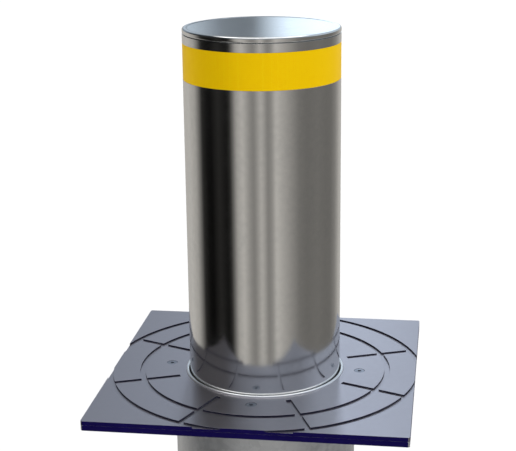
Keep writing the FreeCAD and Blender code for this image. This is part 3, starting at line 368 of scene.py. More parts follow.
def use(tree, name, **values):
    node = tree.nodes.new("ShaderNodeGroup")
    node.node_tree = GROUPS[name]
    for label, value in values.items():
        node.inputs[label].default_value = value
    return node


def blended(tree, mask, first, second):
    """Two colours mixed by a mask. Each may be a socket or a colour."""
    mix = tree.nodes.new("ShaderNodeMix")
    mix.data_type = "RGBA"
    tree.links.new(mask, mix.inputs["Factor"])
    for socket, colour in ((mix.inputs[6], first), (mix.inputs[7], second)):
        if isinstance(colour, bpy.types.NodeSocket):
            tree.links.new(colour, socket)
        else:
            socket.default_value = (*colour, 1)
    return mix.outputs[2]


def finish(name, colour, second, roughness, metallic, texture, depth=0.1, variation=0.1,
           worn=None, **settings):
    """A material whose colour drifts between two shades and whose edges wear to a third."""
    material = bpy.data.materials.new(name)
    material.use_nodes = True
    tree = material.node_tree
    shader = tree.nodes["Principled BSDF"]
    smudge = use(tree, "smudges", Roughness=roughness, Amount=variation)
    surface = use(tree, texture, Depth=depth)
    tone = blended(tree, smudge.outputs["Mask"], colour, second)
    if worn:
        edges = use(tree, "wear", Amount=EDGE_WEAR)
        tone = blended(tree, edges.outputs["Mask"], tone, worn)
    tree.links.new(tone, shader.inputs["Base Color"])
    tree.links.new(smudge.outputs["Roughness"], shader.inputs["Roughness"])
    tree.links.new(surface.outputs["Normal"], shader.inputs["Normal"])
    shader.inputs["Metallic"].default_value = metallic
    for label, value in settings.items():
        shader.inputs[label.replace("_", " ")].default_value = value
    return material


# %% Stainless and satin steel


def polished_stainless():
    return finish("polished_stainless", (0.87, 0.865, 0.85), (0.82, 0.82, 0.81), 0.11, 1.0,
                  "polish_lines", depth=0.006, variation=0.03)


def satin_cover():
    """Blasted and lacquered plate: an even blue-grey with a very fine grain."""
    return finish("satin_cover", (0.495, 0.465, 0.505), (0.485, 0.455, 0.495), 0.31, 1.0, "grain",
                  depth=0.006, variation=0.02)


def painted_channel_shade():
    """The channels' walls are coloured near-black as painted shade, so they draw dark lines on the
    plate.
    """
    return finish("painted_channel_shade", (0.010, 0.010, 0.028), (0.022, 0.022, 0.044), 0.7, 0.0, "grain",
                  depth=0.25, variation=0.1, Specular_IOR_Level=0.2)


def navy_paint_and_shade():
    """The plate's sides are dark navy paint, darkened further as painted shade, and hardly shine."""
    return finish("navy_paint_and_shade", (0.0034, 0.0012, 0.045), (0.0050, 0.0022, 0.054), 0.6, 0.0,
                  "brush_lines", depth=0.2, variation=0.2, Specular_IOR_Level=0.04)


# %% Amber reflective film


def amber_film():
    """Retroreflective film: a clear coat over amber, with a fine honeycomb of sealed cells."""
    material = bpy.data.materials.new("amber_film")
    material.use_nodes = True
    tree = material.node_tree
    shader = tree.nodes["Principled BSDF"]
    cells = tree.nodes.new("ShaderNodeTexVoronoi")
    cells.feature = "DISTANCE_TO_EDGE"
    cells.inputs["Scale"].default_value = 420
    cells.inputs["Randomness"].default_value = 0.15
    tree.links.new(stretched(tree, (1, 1, 1)), cells.inputs["Vector"])
    wall = spread(tree, cells.outputs["Distance"], 0.0, 0.10, 1, 0)
    smudge = use(tree, "smudges", Roughness=0.46, Amount=0.06)
    tone = blended(tree, smudge.outputs["Mask"], (0.98, 0.62, 0.0), (0.96, 0.59, 0.0))
    honeycomb = blended(tree, wall, tone, (0.99, 0.66, 0.004))
    tree.links.new(honeycomb, shader.inputs["Base Color"])
    tree.links.new(smudge.outputs["Roughness"], shader.inputs["Roughness"])
    shader.inputs["Metallic"].default_value = 0.42
    shader.inputs["Specular IOR Level"].default_value = 0.05
    shader.inputs["Coat Weight"].default_value = 0.03
    shader.inputs["Coat Roughness"].default_value = 0.12
    return material


# %% Galvanised steel


def galvanised():
    """Hot-dip zinc: crystals of different greys with a dull bloom over them."""
    material = bpy.data.materials.new("galvanised")
    material.use_nodes = True
    tree = material.node_tree
    shader = tree.nodes["Principled BSDF"]
    crystal = use(tree, "spangle", Scale=150.0)
    tone = blended(tree, crystal.outputs["Shade"], (0.56, 0.575, 0.59), (0.68, 0.69, 0.70))
    bloom = spread(tree, noise(tree, 6, 5), 0.45, 0.7, 0, 0.7)
    tone = blended(tree, bloom, tone, (0.70, 0.71, 0.71))
    tree.links.new(tone, shader.inputs["Base Color"])
    rough = spread(tree, crystal.outputs["Shade"], 0, 1, 0.38, 0.55)
    tree.links.new(rough, shader.inputs["Roughness"])
    bump = tree.nodes.new("ShaderNodeBump")
    bump.inputs["Strength"].default_value = 0.08
    bump.inputs["Distance"].default_value = 0.0002
    tree.links.new(crystal.outputs["Edge"], bump.inputs["Height"])
    tree.links.new(bump.outputs[0], shader.inputs["Normal"])
    shader.inputs["Metallic"].default_value = 0.85
    return material


# %% Everything else the record names

FINISHES = {
    "polished_stainless": polished_stainless(),
    "satin_cover": satin_cover(),
    "reflective_amber": amber_film(),
    "galvanised_steel": galvanised(),
    "zinc_fastener": finish("zinc_fastener", (0.66, 0.67, 0.69), (0.56, 0.57, 0.58), 0.26, 1.0,
                            "grain", worn=(0.80, 0.80, 0.80)),
    "black_rubber": finish("black_rubber", (0.022, 0.022, 0.023), (0.040, 0.039, 0.037), 0.62, 0.0,
                           "pebble", depth=0.3, variation=0.2),
    "guide_nylon": finish("guide_nylon", (0.78, 0.75, 0.66), (0.70, 0.67, 0.58), 0.42, 0.0,
                          "polish_lines", depth=0.3),
    "bronze": finish("bronze", (0.60, 0.40, 0.18), (0.46, 0.30, 0.13), 0.30, 1.0, "polish_lines",
                     worn=(0.78, 0.58, 0.32)),
    "ground_steel": finish("ground_steel", (0.78, 0.79, 0.80), (0.70, 0.71, 0.72), 0.10, 1.0,
                           "polish_lines", depth=0.03, variation=0.06),
    "ram_paint": finish("ram_paint", (0.030, 0.032, 0.036), (0.050, 0.052, 0.056), 0.38, 0.0,
                        "pebble", depth=0.2, worn=(0.30, 0.30, 0.31), Coat_Weight=0.3),
    "pump_alloy": finish("pump_alloy", (0.62, 0.63, 0.65), (0.52, 0.53, 0.55), 0.34, 1.0,
                         "brush_lines", depth=0.15, worn=(0.80, 0.81, 0.82)),
    "motor_paint": finish("motor_paint", (0.07, 0.13, 0.22), (0.05, 0.10, 0.17), 0.40, 0.0,
                          "pebble", depth=0.25, worn=(0.32, 0.33, 0.34), Coat_Weight=0.4),
    "copper_winding": finish("copper_winding", (0.62, 0.24, 0.10), (0.45, 0.16, 0.06), 0.32, 1.0,
                             "polish_lines", depth=0.8),
    "core_steel": finish("core_steel", (0.26, 0.26, 0.27), (0.18, 0.17, 0.17), 0.45, 1.0,
                         "polish_lines", depth=0.9),
    "black_plastic": finish("black_plastic", (0.028, 0.028, 0.030), (0.040, 0.040, 0.042), 0.42, 0.0,
                            "pebble", depth=0.35, worn=(0.09, 0.09, 0.09)),
    "tank_plastic": finish("tank_plastic", (0.72, 0.73, 0.70), (0.62, 0.63, 0.58), 0.40, 0.0,
                           "pebble", depth=0.2, Subsurface_Weight=0.1),
    "pipe_steel": finish("pipe_steel", (0.60, 0.61, 0.60), (0.50, 0.51, 0.50), 0.28, 1.0,
                         "polish_lines", depth=0.1),
    "box_plastic": finish("box_plastic", (0.42, 0.43, 0.44), (0.36, 0.37, 0.38), 0.45, 0.0,
                          "pebble", depth=0.4, worn=(0.55, 0.56, 0.57)),
    "switch_brass": finish("switch_brass", (0.62, 0.56, 0.42), (0.52, 0.46, 0.33), 0.24, 1.0,
                           "polish_lines", depth=0.3, worn=(0.78, 0.70, 0.52)),
    "red_plastic": finish("red_plastic", (0.56, 0.022, 0.014), (0.44, 0.018, 0.012), 0.30, 0.0,
                          "pebble", depth=0.15, worn=(0.70, 0.14, 0.10), Coat_Weight=0.3),
}
SCREW_STEEL = finish("screw_steel", (0.36, 0.37, 0.42), (0.30, 0.31, 0.36), 0.28, 1.0, "grain",
                     depth=0.02)
# near-black painted shade for the channels' walls
PAINTED_CHANNEL_SHADE = painted_channel_shade()
# dark navy paint for the sides, darkened further as painted shade
NAVY_PAINT_AND_SHADE = navy_paint_and_shade()

for row in frame["record"]["subparts"]:
    mesh = nodes[row["node"]].data
    mesh.materials.clear()
    mesh.materials.append(FINISHES[row["material_slot"]])
print("finishes:", len(FINISHES), "on", len(nodes), "nodes")

# %% [markdown]
# ## Modelling helpers
# Most of this product is turned on a lathe, so its pieces start as a circle. In edit mode the circle
# is extruded and scaled from one corner of the section to the next, and merging the last circle into
# the first closes the ring. A Bevel modifier then rounds the corners, as a real edge is rounded.

# %% Select, finish and place
BODY_OF = {node: body for body, members in frame["record"]["behaviour"]["bodies"].items()
           for node in members}
SMOOTH_BELOW = 35                     # degrees between faces that shade as one surface
SLOT_OF = {row["node"]: row["material_slot"] for row in frame["record"]["subparts"]}


def start_edit(name):
    """Names the new primitive and opens it in edit mode with all of it selected."""
    piece = bpy.context.object
    piece.name = name
    piece.data.name = name
    bpy.ops.object.mode_set(mode="EDIT")
    bpy.ops.mesh.select_all(action="SELECT")
    return piece


def apply_modifier(piece, kind, **settings):
    bpy.ops.object.select_all(action="DESELECT")
    bpy.context.view_layer.objects.active = piece
    piece.select_set(True)
    modifier = piece.modifiers.new(kind.lower(), kind)
    for key, value in settings.items():
        setattr(modifier, key, value)
    bpy.ops.object.modifier_apply(modifier=modifier.name)


def rounded(piece, width, segments=3, angle=30):
    apply_modifier(piece, "BEVEL", width=width, segments=segments, limit_method="ANGLE",
                   angle_limit=math.radians(angle), harden_normals=False)


def at_origin(piece):
    """Moves a piece's place into its mesh."""
    bpy.ops.object.select_all(action="DESELECT")
    bpy.context.view_layer.objects.active = piece
    piece.select_set(True)
    bpy.ops.object.transform_apply(location=True, rotation=True, scale=True)


def smooth(piece):
    bpy.ops.object.select_all(action="DESELECT")
    bpy.context.view_layer.objects.active = piece
    piece.select_set(True)
    bpy.ops.object.shade_smooth_by_angle(angle=math.radians(SMOOTH_BELOW))


def done(piece, node, material=None):
    """Smooths a piece, gives it its finish and lets it ride where its CAD node does.

    Smoothing alone would tilt the normals of a large flat face towards the small bevels round it, and
    polished steel would mirror the wrong way. Weighted Normal lets the large faces decide.
    """
    at_origin(piece)
    smooth(piece)
    apply_modifier(piece, "WEIGHTED_NORMAL", mode="FACE_AREA", weight=50, keep_sharp=True)
    if not piece.data.materials:
        piece.data.materials.append(material or FINISHES[SLOT_OF[node]])
    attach(piece, BODY_OF[node])
    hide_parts(node)
    print(piece.name, "has", len(piece.data.polygons), "faces")


# %% Turn a section into a piece


def turned(name, section, segments=128, closed=True):
    """A turned piece from (radius, height) corners. An open section is capped at its last corner."""
    bpy.ops.object.select_all(action="DESELECT")
    radius, height = section[0]
    bpy.ops.mesh.primitive_circle_add(vertices=segments, radius=radius, location=(0, 0, 0))
    piece = start_edit(name)
    bpy.ops.transform.translate(value=(0, 0, height))
    corners = section[1:] + ([section[0]] if closed else [])
    for next_radius, next_height in corners:
        bpy.ops.mesh.extrude_region_move(
            TRANSFORM_OT_translate={"value": (0, 0, next_height - height)})
        if abs(next_radius - radius) > 1e-9:
            grow = next_radius / radius
            bpy.ops.transform.resize(value=(grow, grow, 1), center_override=(0, 0, next_height))
        radius, height = next_radius, next_height
    if not closed:
        bpy.ops.mesh.edge_face_add()
    bpy.ops.mesh.select_all(action="SELECT")
    bpy.ops.mesh.remove_doubles(threshold=1e-6)
    bpy.ops.mesh.normals_make_consistent(inside=False)
    bpy.ops.object.mode_set(mode="OBJECT")
    return piece



# %% Close and copy


def closed_up(piece):
    """Fills the open rings of a turned piece and turns its faces outwards."""
    bpy.ops.object.select_all(action="DESELECT")
    bpy.context.view_layer.objects.active = piece
    bpy.ops.object.mode_set(mode="EDIT")
    bpy.ops.mesh.select_all(action="SELECT")
    bpy.ops.mesh.fill_holes(sides=0)
    bpy.ops.mesh.normals_make_consistent(inside=False)
    bpy.ops.object.mode_set(mode="OBJECT")


def round_spots(radius, count, start):
    """The angle and the place of each of some spots evenly round a circle."""
    angles = [math.radians(start) + 2 * math.pi * i / count for i in range(count)]
    return [(angle, (radius * math.cos(angle), radius * math.sin(angle))) for angle in angles]


def copies(model, name, spots, turning=False):
    """Copies a model to each spot, each copy with its own mesh, and deletes the model."""
    made = []
    for number, (angle, place) in enumerate(spots, 1):
        twin = model.copy()
        twin.data = model.data.copy()
        twin.name = twin.data.name = f"{name}_{number}"
        bpy.context.collection.objects.link(twin)
        twin.location = (*place, 0)
        twin.rotation_euler = (0, 0, angle if turning else 0)
        made.append(twin)
    bpy.data.objects.remove(model)
    return made


# %% [markdown]
# ## The tube
# The tube is what the eye goes to. It needs a very round mesh, because polished steel shows every
# facet, so it has 256 sides. The shallow step rolled into it holds the amber film, and its corners
# are rounded by a quarter of a millimetre.

# %% Tube
tube_low, tube_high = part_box("bollard_tube")
tube_radius = tube_high[0]
TUBE_WALL = 6.0 * MM
band_low, band_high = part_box("reflective_band")
RECESS = 0.6 * MM
tube_section = [
    (tube_radius - TUBE_WALL, tube_low[2]), (tube_radius, tube_low[2]),
    (tube_radius, band_low[2] - FIT), (tube_radius - RECESS, band_low[2] - FIT),
    (tube_radius - RECESS, band_high[2] + FIT), (tube_radius, band_high[2] + FIT),
    (tube_radius, tube_high[2]), (tube_radius - TUBE_WALL, tube_high[2]),
]
tube = turned("tube_skin", tube_section, 256)
rounded(tube, 0.25 * MM, 2)
done(tube, "bollard_tube")

# %% [markdown]
# ## Amber band
# The film is stuck in the recess all round the tube. It stands just below the tube's surface, so that
# the tube can sink past the wiper without peeling it. A thin turned ring with softened edges is enough.

# %% Band
film_outer = band_high[0]
film_inner = film_outer - 0.45 * MM
band = turned("band_film", [
    (film_inner, band_low[2]), (film_outer, band_low[2]), (film_outer, band_high[2]),
    (film_inner, band_high[2]),
], 256)
rounded(band, 0.15 * MM, 2)
done(band, "reflective_band")

# %% [markdown]
# ## Cap
# The cap is a thick disc with a rolled rim. The rim catches the light as a thin bright line all round,
# and a hairline joint shows where the cap sits on the tube.

# %% Cap
cap_low, cap_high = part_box("top_cap")
CAP_RIM = 2.4 * MM
CAP_SPIGOT = 7.0 * MM
spigot = tube_radius - TUBE_WALL - FIT
cap_foot = tube_high[2] + 0.25 * MM
cap = turned("cap_disc", [
    (spigot - CAP_SPIGOT, cap_low[2]), (spigot, cap_low[2]), (spigot, cap_foot),
    (tube_radius - 0.05 * MM, cap_foot), (tube_radius - 0.05 * MM, cap_high[2]),
    (tube_radius - 7 * MM, cap_high[2]), (tube_radius - 7.8 * MM, cap_high[2] - 0.35 * MM),
    (tube_radius - 60 * MM, cap_high[2] - 0.30 * MM), (tube_radius - 100 * MM, cap_high[2] - 0.25 * MM),
], 256, closed=False)


def cap_underside():
    """Closes the disc's lower face inside the spigot."""
    bpy.ops.object.select_all(action="DESELECT")
    bpy.context.view_layer.objects.active = cap
    bpy.ops.object.mode_set(mode="EDIT")
    bpy.ops.mesh.select_all(action="DESELECT")
    bpy.ops.object.mode_set(mode="OBJECT")
    for edge in cap.data.edges:
        ends = [cap.data.vertices[i].co for i in edge.vertices]
        edge.select = all(abs(end.z - cap_low[2]) < 1e-6
                          and abs(end.xy.length - spigot + CAP_SPIGOT) < 1e-5 for end in ends)
    bpy.ops.object.mode_set(mode="EDIT")
    bpy.ops.mesh.select_mode(type="EDGE")
    bpy.ops.mesh.extrude_region_move(
        TRANSFORM_OT_translate={"value": (0, 0, tube_high[2] - cap_low[2])})
    bpy.ops.mesh.edge_face_add()
    bpy.ops.mesh.select_all(action="SELECT")
    bpy.ops.mesh.normals_make_consistent(inside=False)
    bpy.ops.mesh.select_mode(type="VERT")
    bpy.ops.object.mode_set(mode="OBJECT")


cap_underside()
rounded(cap, CAP_RIM, 5, 60)
done(cap, "top_cap")

# %% [markdown]
# ## Bore ring and wiper
# A bright ring lines the plate's bore, and a black rubber wiper closes the gap between it and the tube.

# %% Ring and wiper
ring_low, ring_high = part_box("bore_trim_ring")
plate_low, plate_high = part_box("cover_plate")
RING_BORE = tube_radius + 1.6 * MM
RING_LIP = RING_BORE + 4.2 * MM
ring = turned("trim_ring", [
    (RING_BORE, ring_low[2]), (ring_high[0], ring_low[2]), (ring_high[0], plate_low[2] - FIT),
    (RING_LIP, plate_low[2] - FIT), (RING_LIP, ring_high[2]), (RING_BORE, ring_high[2]),
], 192)
rounded(ring, 1.9 * MM, 6)
RING_STEEL = finish("ring_steel", (0.98, 0.98, 0.98), (0.92, 0.92, 0.93), 0.3, 1.0, "polish_lines",
                    depth=0.006, variation=0.03)
done(ring, "bore_trim_ring", RING_STEEL)

wiper_low, wiper_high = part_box("wiper_seal")
WIPER_INNER = tube_radius + 0.3 * MM
wiper_back = wiper_high[0]
wiper_lip_top = wiper_high[2]
wiper = turned("wiper_lip", [
    (WIPER_INNER + 0.5 * MM, wiper_low[2]), (wiper_back, wiper_low[2]),
    (wiper_back, wiper_lip_top - 7.1 * MM), (RING_BORE - 0.2 * MM, wiper_lip_top - 7 * MM),
    (RING_BORE - 0.8 * MM, wiper_lip_top - 1 * MM), (WIPER_INNER, wiper_lip_top),
    (WIPER_INNER, wiper_lip_top - 3 * MM), (WIPER_INNER + 0.5 * MM, wiper_lip_top - 7 * MM),
], 160)
rounded(wiper, 0.2 * MM, 2)
done(wiper, "wiper_seal")

# %% [markdown]
# ## Cover plate
# The plate starts as a cube of its own size. Rings and bars cut the bore and the drain channels out of
# it with Boolean modifiers, and one Bevel rounds every edge, so each channel catches a thin light along
# its near edge. Three finishes share the mesh: the satin top, the sides in dark navy paint darkened by
# painted shade, and the channels' walls in near-black painted shade.

# %% Cutters
CHANNEL_WIDTH, CHANNEL_DEPTH = 8 * MM, 2.4 * MM
INNER_CHANNEL, OUTER_CHANNEL, RADIAL_START = 179 * MM, 226 * MM, 127 * MM
HEAD_SEAT, HEAD_SEAT_DEPTH, SHANK_HOLE = 7.8 * MM, 3.9 * MM, 4.0 * MM
SCREW_SPOTS = round_spots(139 * MM, 4, 0)


def subtract(piece, cutter):
    """Cuts one mesh out of another and deletes the cutter."""
    apply_modifier(piece, "BOOLEAN", object=cutter, operation="DIFFERENCE", solver="EXACT")
    bpy.data.objects.remove(cutter)


def cylinder_cutter(radius, low, high, place=(0, 0), segments=128):
    bpy.ops.object.select_all(action="DESELECT")
    bpy.ops.mesh.primitive_cylinder_add(vertices=segments, radius=radius, depth=high - low,
                                        location=(*place, (low + high) / 2))
    return bpy.context.object


def channel_ring(middle, top):
    half = CHANNEL_WIDTH / 2
    return turned("cutter", [
        (middle - half, top - CHANNEL_DEPTH), (middle + half, top - CHANNEL_DEPTH),
        (middle + half, top + 4 * MM), (middle - half, top + 4 * MM)], 192)


def channel_bar(angle, top):
    length = OUTER_CHANNEL - RADIAL_START
    middle = (OUTER_CHANNEL + RADIAL_START) / 2
    bpy.ops.object.select_all(action="DESELECT")
    bpy.ops.mesh.primitive_cube_add(size=1, location=(middle * math.cos(angle),
                                                      middle * math.sin(angle), top),
                                    rotation=(0, 0, angle))
    bar = bpy.context.object
    bar.scale = (length, CHANNEL_WIDTH, 2 * CHANNEL_DEPTH)
    at_origin(bar)
    return bar


# %% Plate blank


def square_blank(name, low, high, bore):
    """A square plate with rounded upright corners and a round hole."""
    bpy.ops.object.select_all(action="DESELECT")
    bpy.ops.mesh.primitive_cube_add(size=1, location=((Vector(low) + Vector(high)) / 2))
    piece = bpy.context.object
    piece.name = name
    piece.scale = Vector(high) - Vector(low)
    at_origin(piece)
    bpy.ops.object.mode_set(mode="EDIT")
    bpy.ops.mesh.select_mode(type="EDGE")
    bpy.ops.mesh.select_all(action="DESELECT")
    bpy.ops.object.mode_set(mode="OBJECT")
    for edge in piece.data.edges:
        first, second = (piece.data.vertices[i].co for i in edge.vertices)
        edge.select = abs(first.z - second.z) > 1e-4
    bpy.ops.object.mode_set(mode="EDIT")
    bpy.ops.mesh.bevel(offset=3 * MM, segments=6)
    bpy.ops.mesh.select_mode(type="VERT")
    bpy.ops.object.mode_set(mode="OBJECT")
    subtract(piece, cylinder_cutter(bore, low[2] - 0.01, high[2] + 0.01, segments=192))
    return piece


# %% Cover plate
cover = square_blank("cover_casting", plate_low, plate_high, RING_LIP + FIT)
for middle in (INNER_CHANNEL, OUTER_CHANNEL):
    subtract(cover, channel_ring(middle, plate_high[2]))
for i in range(8):
    subtract(cover, channel_bar(math.radians(22.5 + 45 * i), plate_high[2]))
for _, place in SCREW_SPOTS:
    subtract(cover, cylinder_cutter(HEAD_SEAT, plate_high[2] - HEAD_SEAT_DEPTH, plate_high[2] + 0.01,
                                    place, 48))
    subtract(cover, cylinder_cutter(SHANK_HOLE, plate_low[2] - 0.01, plate_high[2] + 0.01, place, 32))
rounded(cover, 0.45 * MM, 2, 40)
cover.data.materials.append(FINISHES["satin_cover"])
cover.data.materials.append(NAVY_PAINT_AND_SHADE)
cover.data.materials.append(PAINTED_CHANNEL_SHADE)
plate_half = plate_high[0]
# Finish 1 is the sides' navy paint darkened by painted shade, finish 2 the walls' painted shade.
for face in cover.data.polygons:
    centre, normal = face.center, face.normal
    if max(abs(centre.x), abs(centre.y)) > plate_half - 0.1 * MM and abs(normal.z) < 0.5:
        face.material_index = 1
    elif centre.z < plate_high[2] - 0.5 * MM and centre.xy.length > RADIAL_START - 1 * MM and (
            abs(normal.z) < 0.5 and centre.z > plate_high[2] - CHANNEL_DEPTH - 0.1 * MM):
        face.material_index = 2
done(cover, "cover_plate")

# %% [markdown]
# ## Cover screws
# One countersunk screw is modelled and copied round the bore. Its head is a turned cone with a flat
# rim, and a six-sided socket is cut in its face.

# %% Screws
screw_low, screw_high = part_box("cover_screws")
SCREW_HEAD, SCREW_SHANK = 7.5 * MM, 3.8 * MM
SOCKET_RADIUS, SOCKET_DEPTH = 2.9 * MM, 2.6 * MM


def socket_screw():
    top = screw_high[2]
    head, shank = SCREW_HEAD, SCREW_SHANK
    piece = turned("screw", [
        (shank, screw_low[2]), (shank, top - (head - shank)), (head, top - 0.4 * MM), (head, top),
        (head * 0.75, top), (head * 0.5, top),
    ], 48, closed=False)
    closed_up(piece)
    subtract(piece, cylinder_cutter(SOCKET_RADIUS, top - SOCKET_DEPTH, top + 4 * MM, segments=6))
    rounded(piece, 0.2 * MM, 2)
    return piece


for screw in copies(socket_screw(), "cover_screw", SCREW_SPOTS):
    done(screw, "cover_screws", SCREW_STEEL)

# %% [markdown]
# ## Square flange under the plate
# The casing's flange has the plate's outline. A weld bead joins it to the casing below, and the bead's
# ripples are a wave in its radius.

# %% Flange
flange_low, flange_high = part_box("casing_flange")
casing_low, casing_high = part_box("casing_tube")
casing_radius = casing_high[0]
CASING_WALL = 4 * MM
flange = square_blank("flange_plate", flange_low, flange_high, casing_radius + FIT)
rounded(flange, 0.6 * MM, 2, 40)
flange.data.materials.append(FINISHES["galvanised_steel"])
flange.data.materials.append(NAVY_PAINT_AND_SHADE)
# the flange's outer sides take the same navy paint darkened by painted shade
for face in flange.data.polygons:
    outward = max(abs(face.center.x), abs(face.center.y)) > plate_half - 0.1 * MM
    face.material_index = 1 if outward and abs(face.normal.z) < 0.5 else 0
done(flange, "casing_flange")


def weld_bead(name, radius, height, size):
    """A rippled weld round the casing: a thin torus whose tube swells and shrinks along it."""
    bpy.ops.object.select_all(action="DESELECT")
    bpy.ops.mesh.primitive_torus_add(major_radius=radius, minor_radius=size, major_segments=360,
                                     minor_segments=10, location=(0, 0, height))
    bead = bpy.context.object
    bead.name = name
    ripples = 120
    for vertex in bead.data.vertices:
        around = math.atan2(vertex.co.y, vertex.co.x)
        swell = 1 + 0.16 * math.sin(ripples * around + 0.8 * math.sin(7 * around))
        ring_point = Vector((radius * math.cos(around), radius * math.sin(around), 0))
        vertex.co = ring_point + (vertex.co - ring_point) * swell
    bead.data.materials.append(FINISHES["galvanised_steel"])
    at_origin(bead)
    smooth(bead)
    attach(bead, "casing")


weld_bead("flange_weld", casing_radius + 1 * MM, flange_low[2] - 1 * MM, 3 * MM)

# %% [markdown]
# ## Casing
# Two rolled lengths of galvanised tube meet at a bolted joint. Each is a turned wall, and the lower one
# is cut for its pipe spigots.

# %% Casing walls
sump_low, sump_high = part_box("sump_drum")
upper_casing = turned("casing_wall", [
    (casing_radius - CASING_WALL, casing_low[2]), (casing_radius, casing_low[2]),
    (casing_radius, casing_high[2]), (casing_radius - CASING_WALL, casing_high[2]),
], 160)
rounded(upper_casing, 0.5 * MM, 2)
done(upper_casing, "casing_tube")

lower_casing = turned("sump_wall", [
    (casing_radius - CASING_WALL, sump_low[2]), (casing_radius, sump_low[2]),
    (casing_radius, sump_high[2]), (casing_radius - CASING_WALL, sump_high[2]),
], 160)
SPIGOT_BORE, SPIGOT_WALL, SPIGOT_LENGTH = 25.2 * MM, 2.8 * MM, 54 * MM
SPIGOT_ROOT = 126 * MM                # how far from the axis a stub starts, inside the wall
CONDUIT_HEIGHT, DRAIN_HEIGHT = 218 * MM, 30 * MM


def spigot_cutter(way, height):
    bpy.ops.object.select_all(action="DESELECT")
    bpy.ops.mesh.primitive_cylinder_add(
        vertices=64, radius=SPIGOT_BORE + SPIGOT_WALL + FIT, depth=0.04,
        location=(0, way * casing_radius, sump_low[2] + height), rotation=(math.pi / 2, 0, 0))
    return bpy.context.object


for way, height in ((1, CONDUIT_HEIGHT), (-1, DRAIN_HEIGHT)):
    subtract(lower_casing, spigot_cutter(way, height))
rounded(lower_casing, 0.4 * MM, 2, 40)
done(lower_casing, "sump_drum")

# %% Pipe spigots


def spigot_piece(name, way, height):
    """A stub with a chamfered mouth, and two extra rings of corners where it leaves the wall."""
    inner, outer = SPIGOT_BORE, SPIGOT_BORE + SPIGOT_WALL
    collar = casing_radius - SPIGOT_ROOT
    piece = turned(name, [
        (inner, 0), (outer, 0), (outer, collar - 1 * MM), (outer, collar + 6 * MM),
        (outer, SPIGOT_LENGTH - 1.5 * MM), (outer - 1.2 * MM, SPIGOT_LENGTH), (inner, SPIGOT_LENGTH),
    ], 64)
    rounded(piece, 0.3 * MM, 2)
    piece.rotation_euler = (-way * math.pi / 2, 0, 0)
    piece.location = (0, way * SPIGOT_ROOT, sump_low[2] + height)
    return piece


for name, way, height in (("conduit_stub", 1, CONDUIT_HEIGHT), ("drain_stub", -1, DRAIN_HEIGHT)):
    done(spigot_piece(name, way, height), "pipe_spigots")

# %% [markdown]
# ## Bolted joint
# The two joint rings clamp the pump deck. One bolt is modelled and copied: a six-sided head with
# softened edges, a washer and a shank are joined, and the shank's chamfered end stands out below.

# %% Joint rings
joint_low, joint_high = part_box("joint_flanges")
deck_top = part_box("pump_deck")[1][2]
JOINT_THICKNESS = 8 * MM
BOLT_HOLE = 4.1 * MM
BOLT_SPOTS = round_spots(143 * MM, 8, 22.5)
joint_outer = joint_high[0]


def joint_ring(name, low):
    piece = turned(name, [
        (casing_radius + FIT, low), (joint_outer, low), (joint_outer, low + JOINT_THICKNESS),
        (casing_radius + FIT, low + JOINT_THICKNESS)], 160)
    for _, place in BOLT_SPOTS:
        subtract(piece, cylinder_cutter(BOLT_HOLE, low - 2 * MM, low + JOINT_THICKNESS + 2 * MM,
                                        place, 24))
    rounded(piece, 0.6 * MM, 2, 40)
    return piece


for name, low in (("joint_ring_upper", deck_top), ("joint_ring_lower", joint_low[2])):
    done(joint_ring(name, low), "joint_flanges")
weld_bead("joint_weld_upper", casing_radius + 1 * MM, joint_high[2] + 0.5 * MM, 2.6 * MM)
weld_bead("joint_weld_lower", casing_radius + 1 * MM, joint_low[2] - 0.5 * MM, 2.6 * MM)

# %% Bolts
bolt_low, bolt_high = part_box("joint_bolts")


def hex_bolt():
    """A six-sided head, a turned washer and a turned shank, joined into one piece."""
    head_low = joint_high[2]
    bpy.ops.object.select_all(action="DESELECT")
    bpy.ops.mesh.primitive_cylinder_add(vertices=6, radius=7.5 * MM, depth=bolt_high[2] - head_low,
                                        location=(0, 0, (head_low + bolt_high[2]) / 2))
    head = bpy.context.object
    at_origin(head)
    rounded(head, 0.7 * MM, 3)
    shank = turned("shank", [(4 * MM, head_low + 1 * MM), (4 * MM, bolt_low[2] + 0.8 * MM),
                             (3.3 * MM, bolt_low[2])], 32, closed=False)
    washer = turned("washer", [(4.2 * MM, head_low), (8 * MM, head_low), (8 * MM, head_low + 1.2 * MM),
                               (4.2 * MM, head_low + 1.2 * MM)], 48)
    rounded(washer, 0.2 * MM, 2)
    bpy.ops.object.select_all(action="DESELECT")
    for part in (shank, washer, head):
        part.select_set(True)
    bpy.context.view_layer.objects.active = head
    bpy.ops.object.join()
    return head


for bolt in copies(hex_bolt(), "joint_bolt", BOLT_SPOTS):
    done(bolt, "joint_bolts")

# %% [markdown]
# ## Foot and ground anchors
# The foot is a thick disc with four anchor holes. Higher up, four bent straps key the casing into the
# concrete, and each is a bar bent on a real radius.

# %% Foot
base_low, base_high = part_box("base_plate")
base_radius = base_high[0]
BASE_HOLE, BASE_HOLE_CIRCLE = 5.5 * MM, casing_radius + 9 * MM
foot = turned("foot_disc", [
    (base_radius, base_low[2]), (base_radius, base_high[2]), (casing_radius, base_high[2]),
    (0.05, base_high[2]),
], 160, closed=False)



closed_up(foot)
for _, place in round_spots(BASE_HOLE_CIRCLE, 4, 45):
    subtract(foot, cylinder_cutter(BASE_HOLE, base_low[2] - 5 * MM, base_high[2] + 5 * MM, place, 32))
rounded(foot, 0.8 * MM, 3, 40)
done(foot, "base_plate")
weld_bead("foot_weld", casing_radius + 1 * MM, base_high[2] + 1.5 * MM, 3 * MM)

# %% Anchors
strap_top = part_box("concrete_anchors")[1][2]
STRAP_WIDTH, STRAP_THICK, STRAP_REACH, STRAP_BEND = 40 * MM, 6 * MM, 60 * MM, 8 * MM


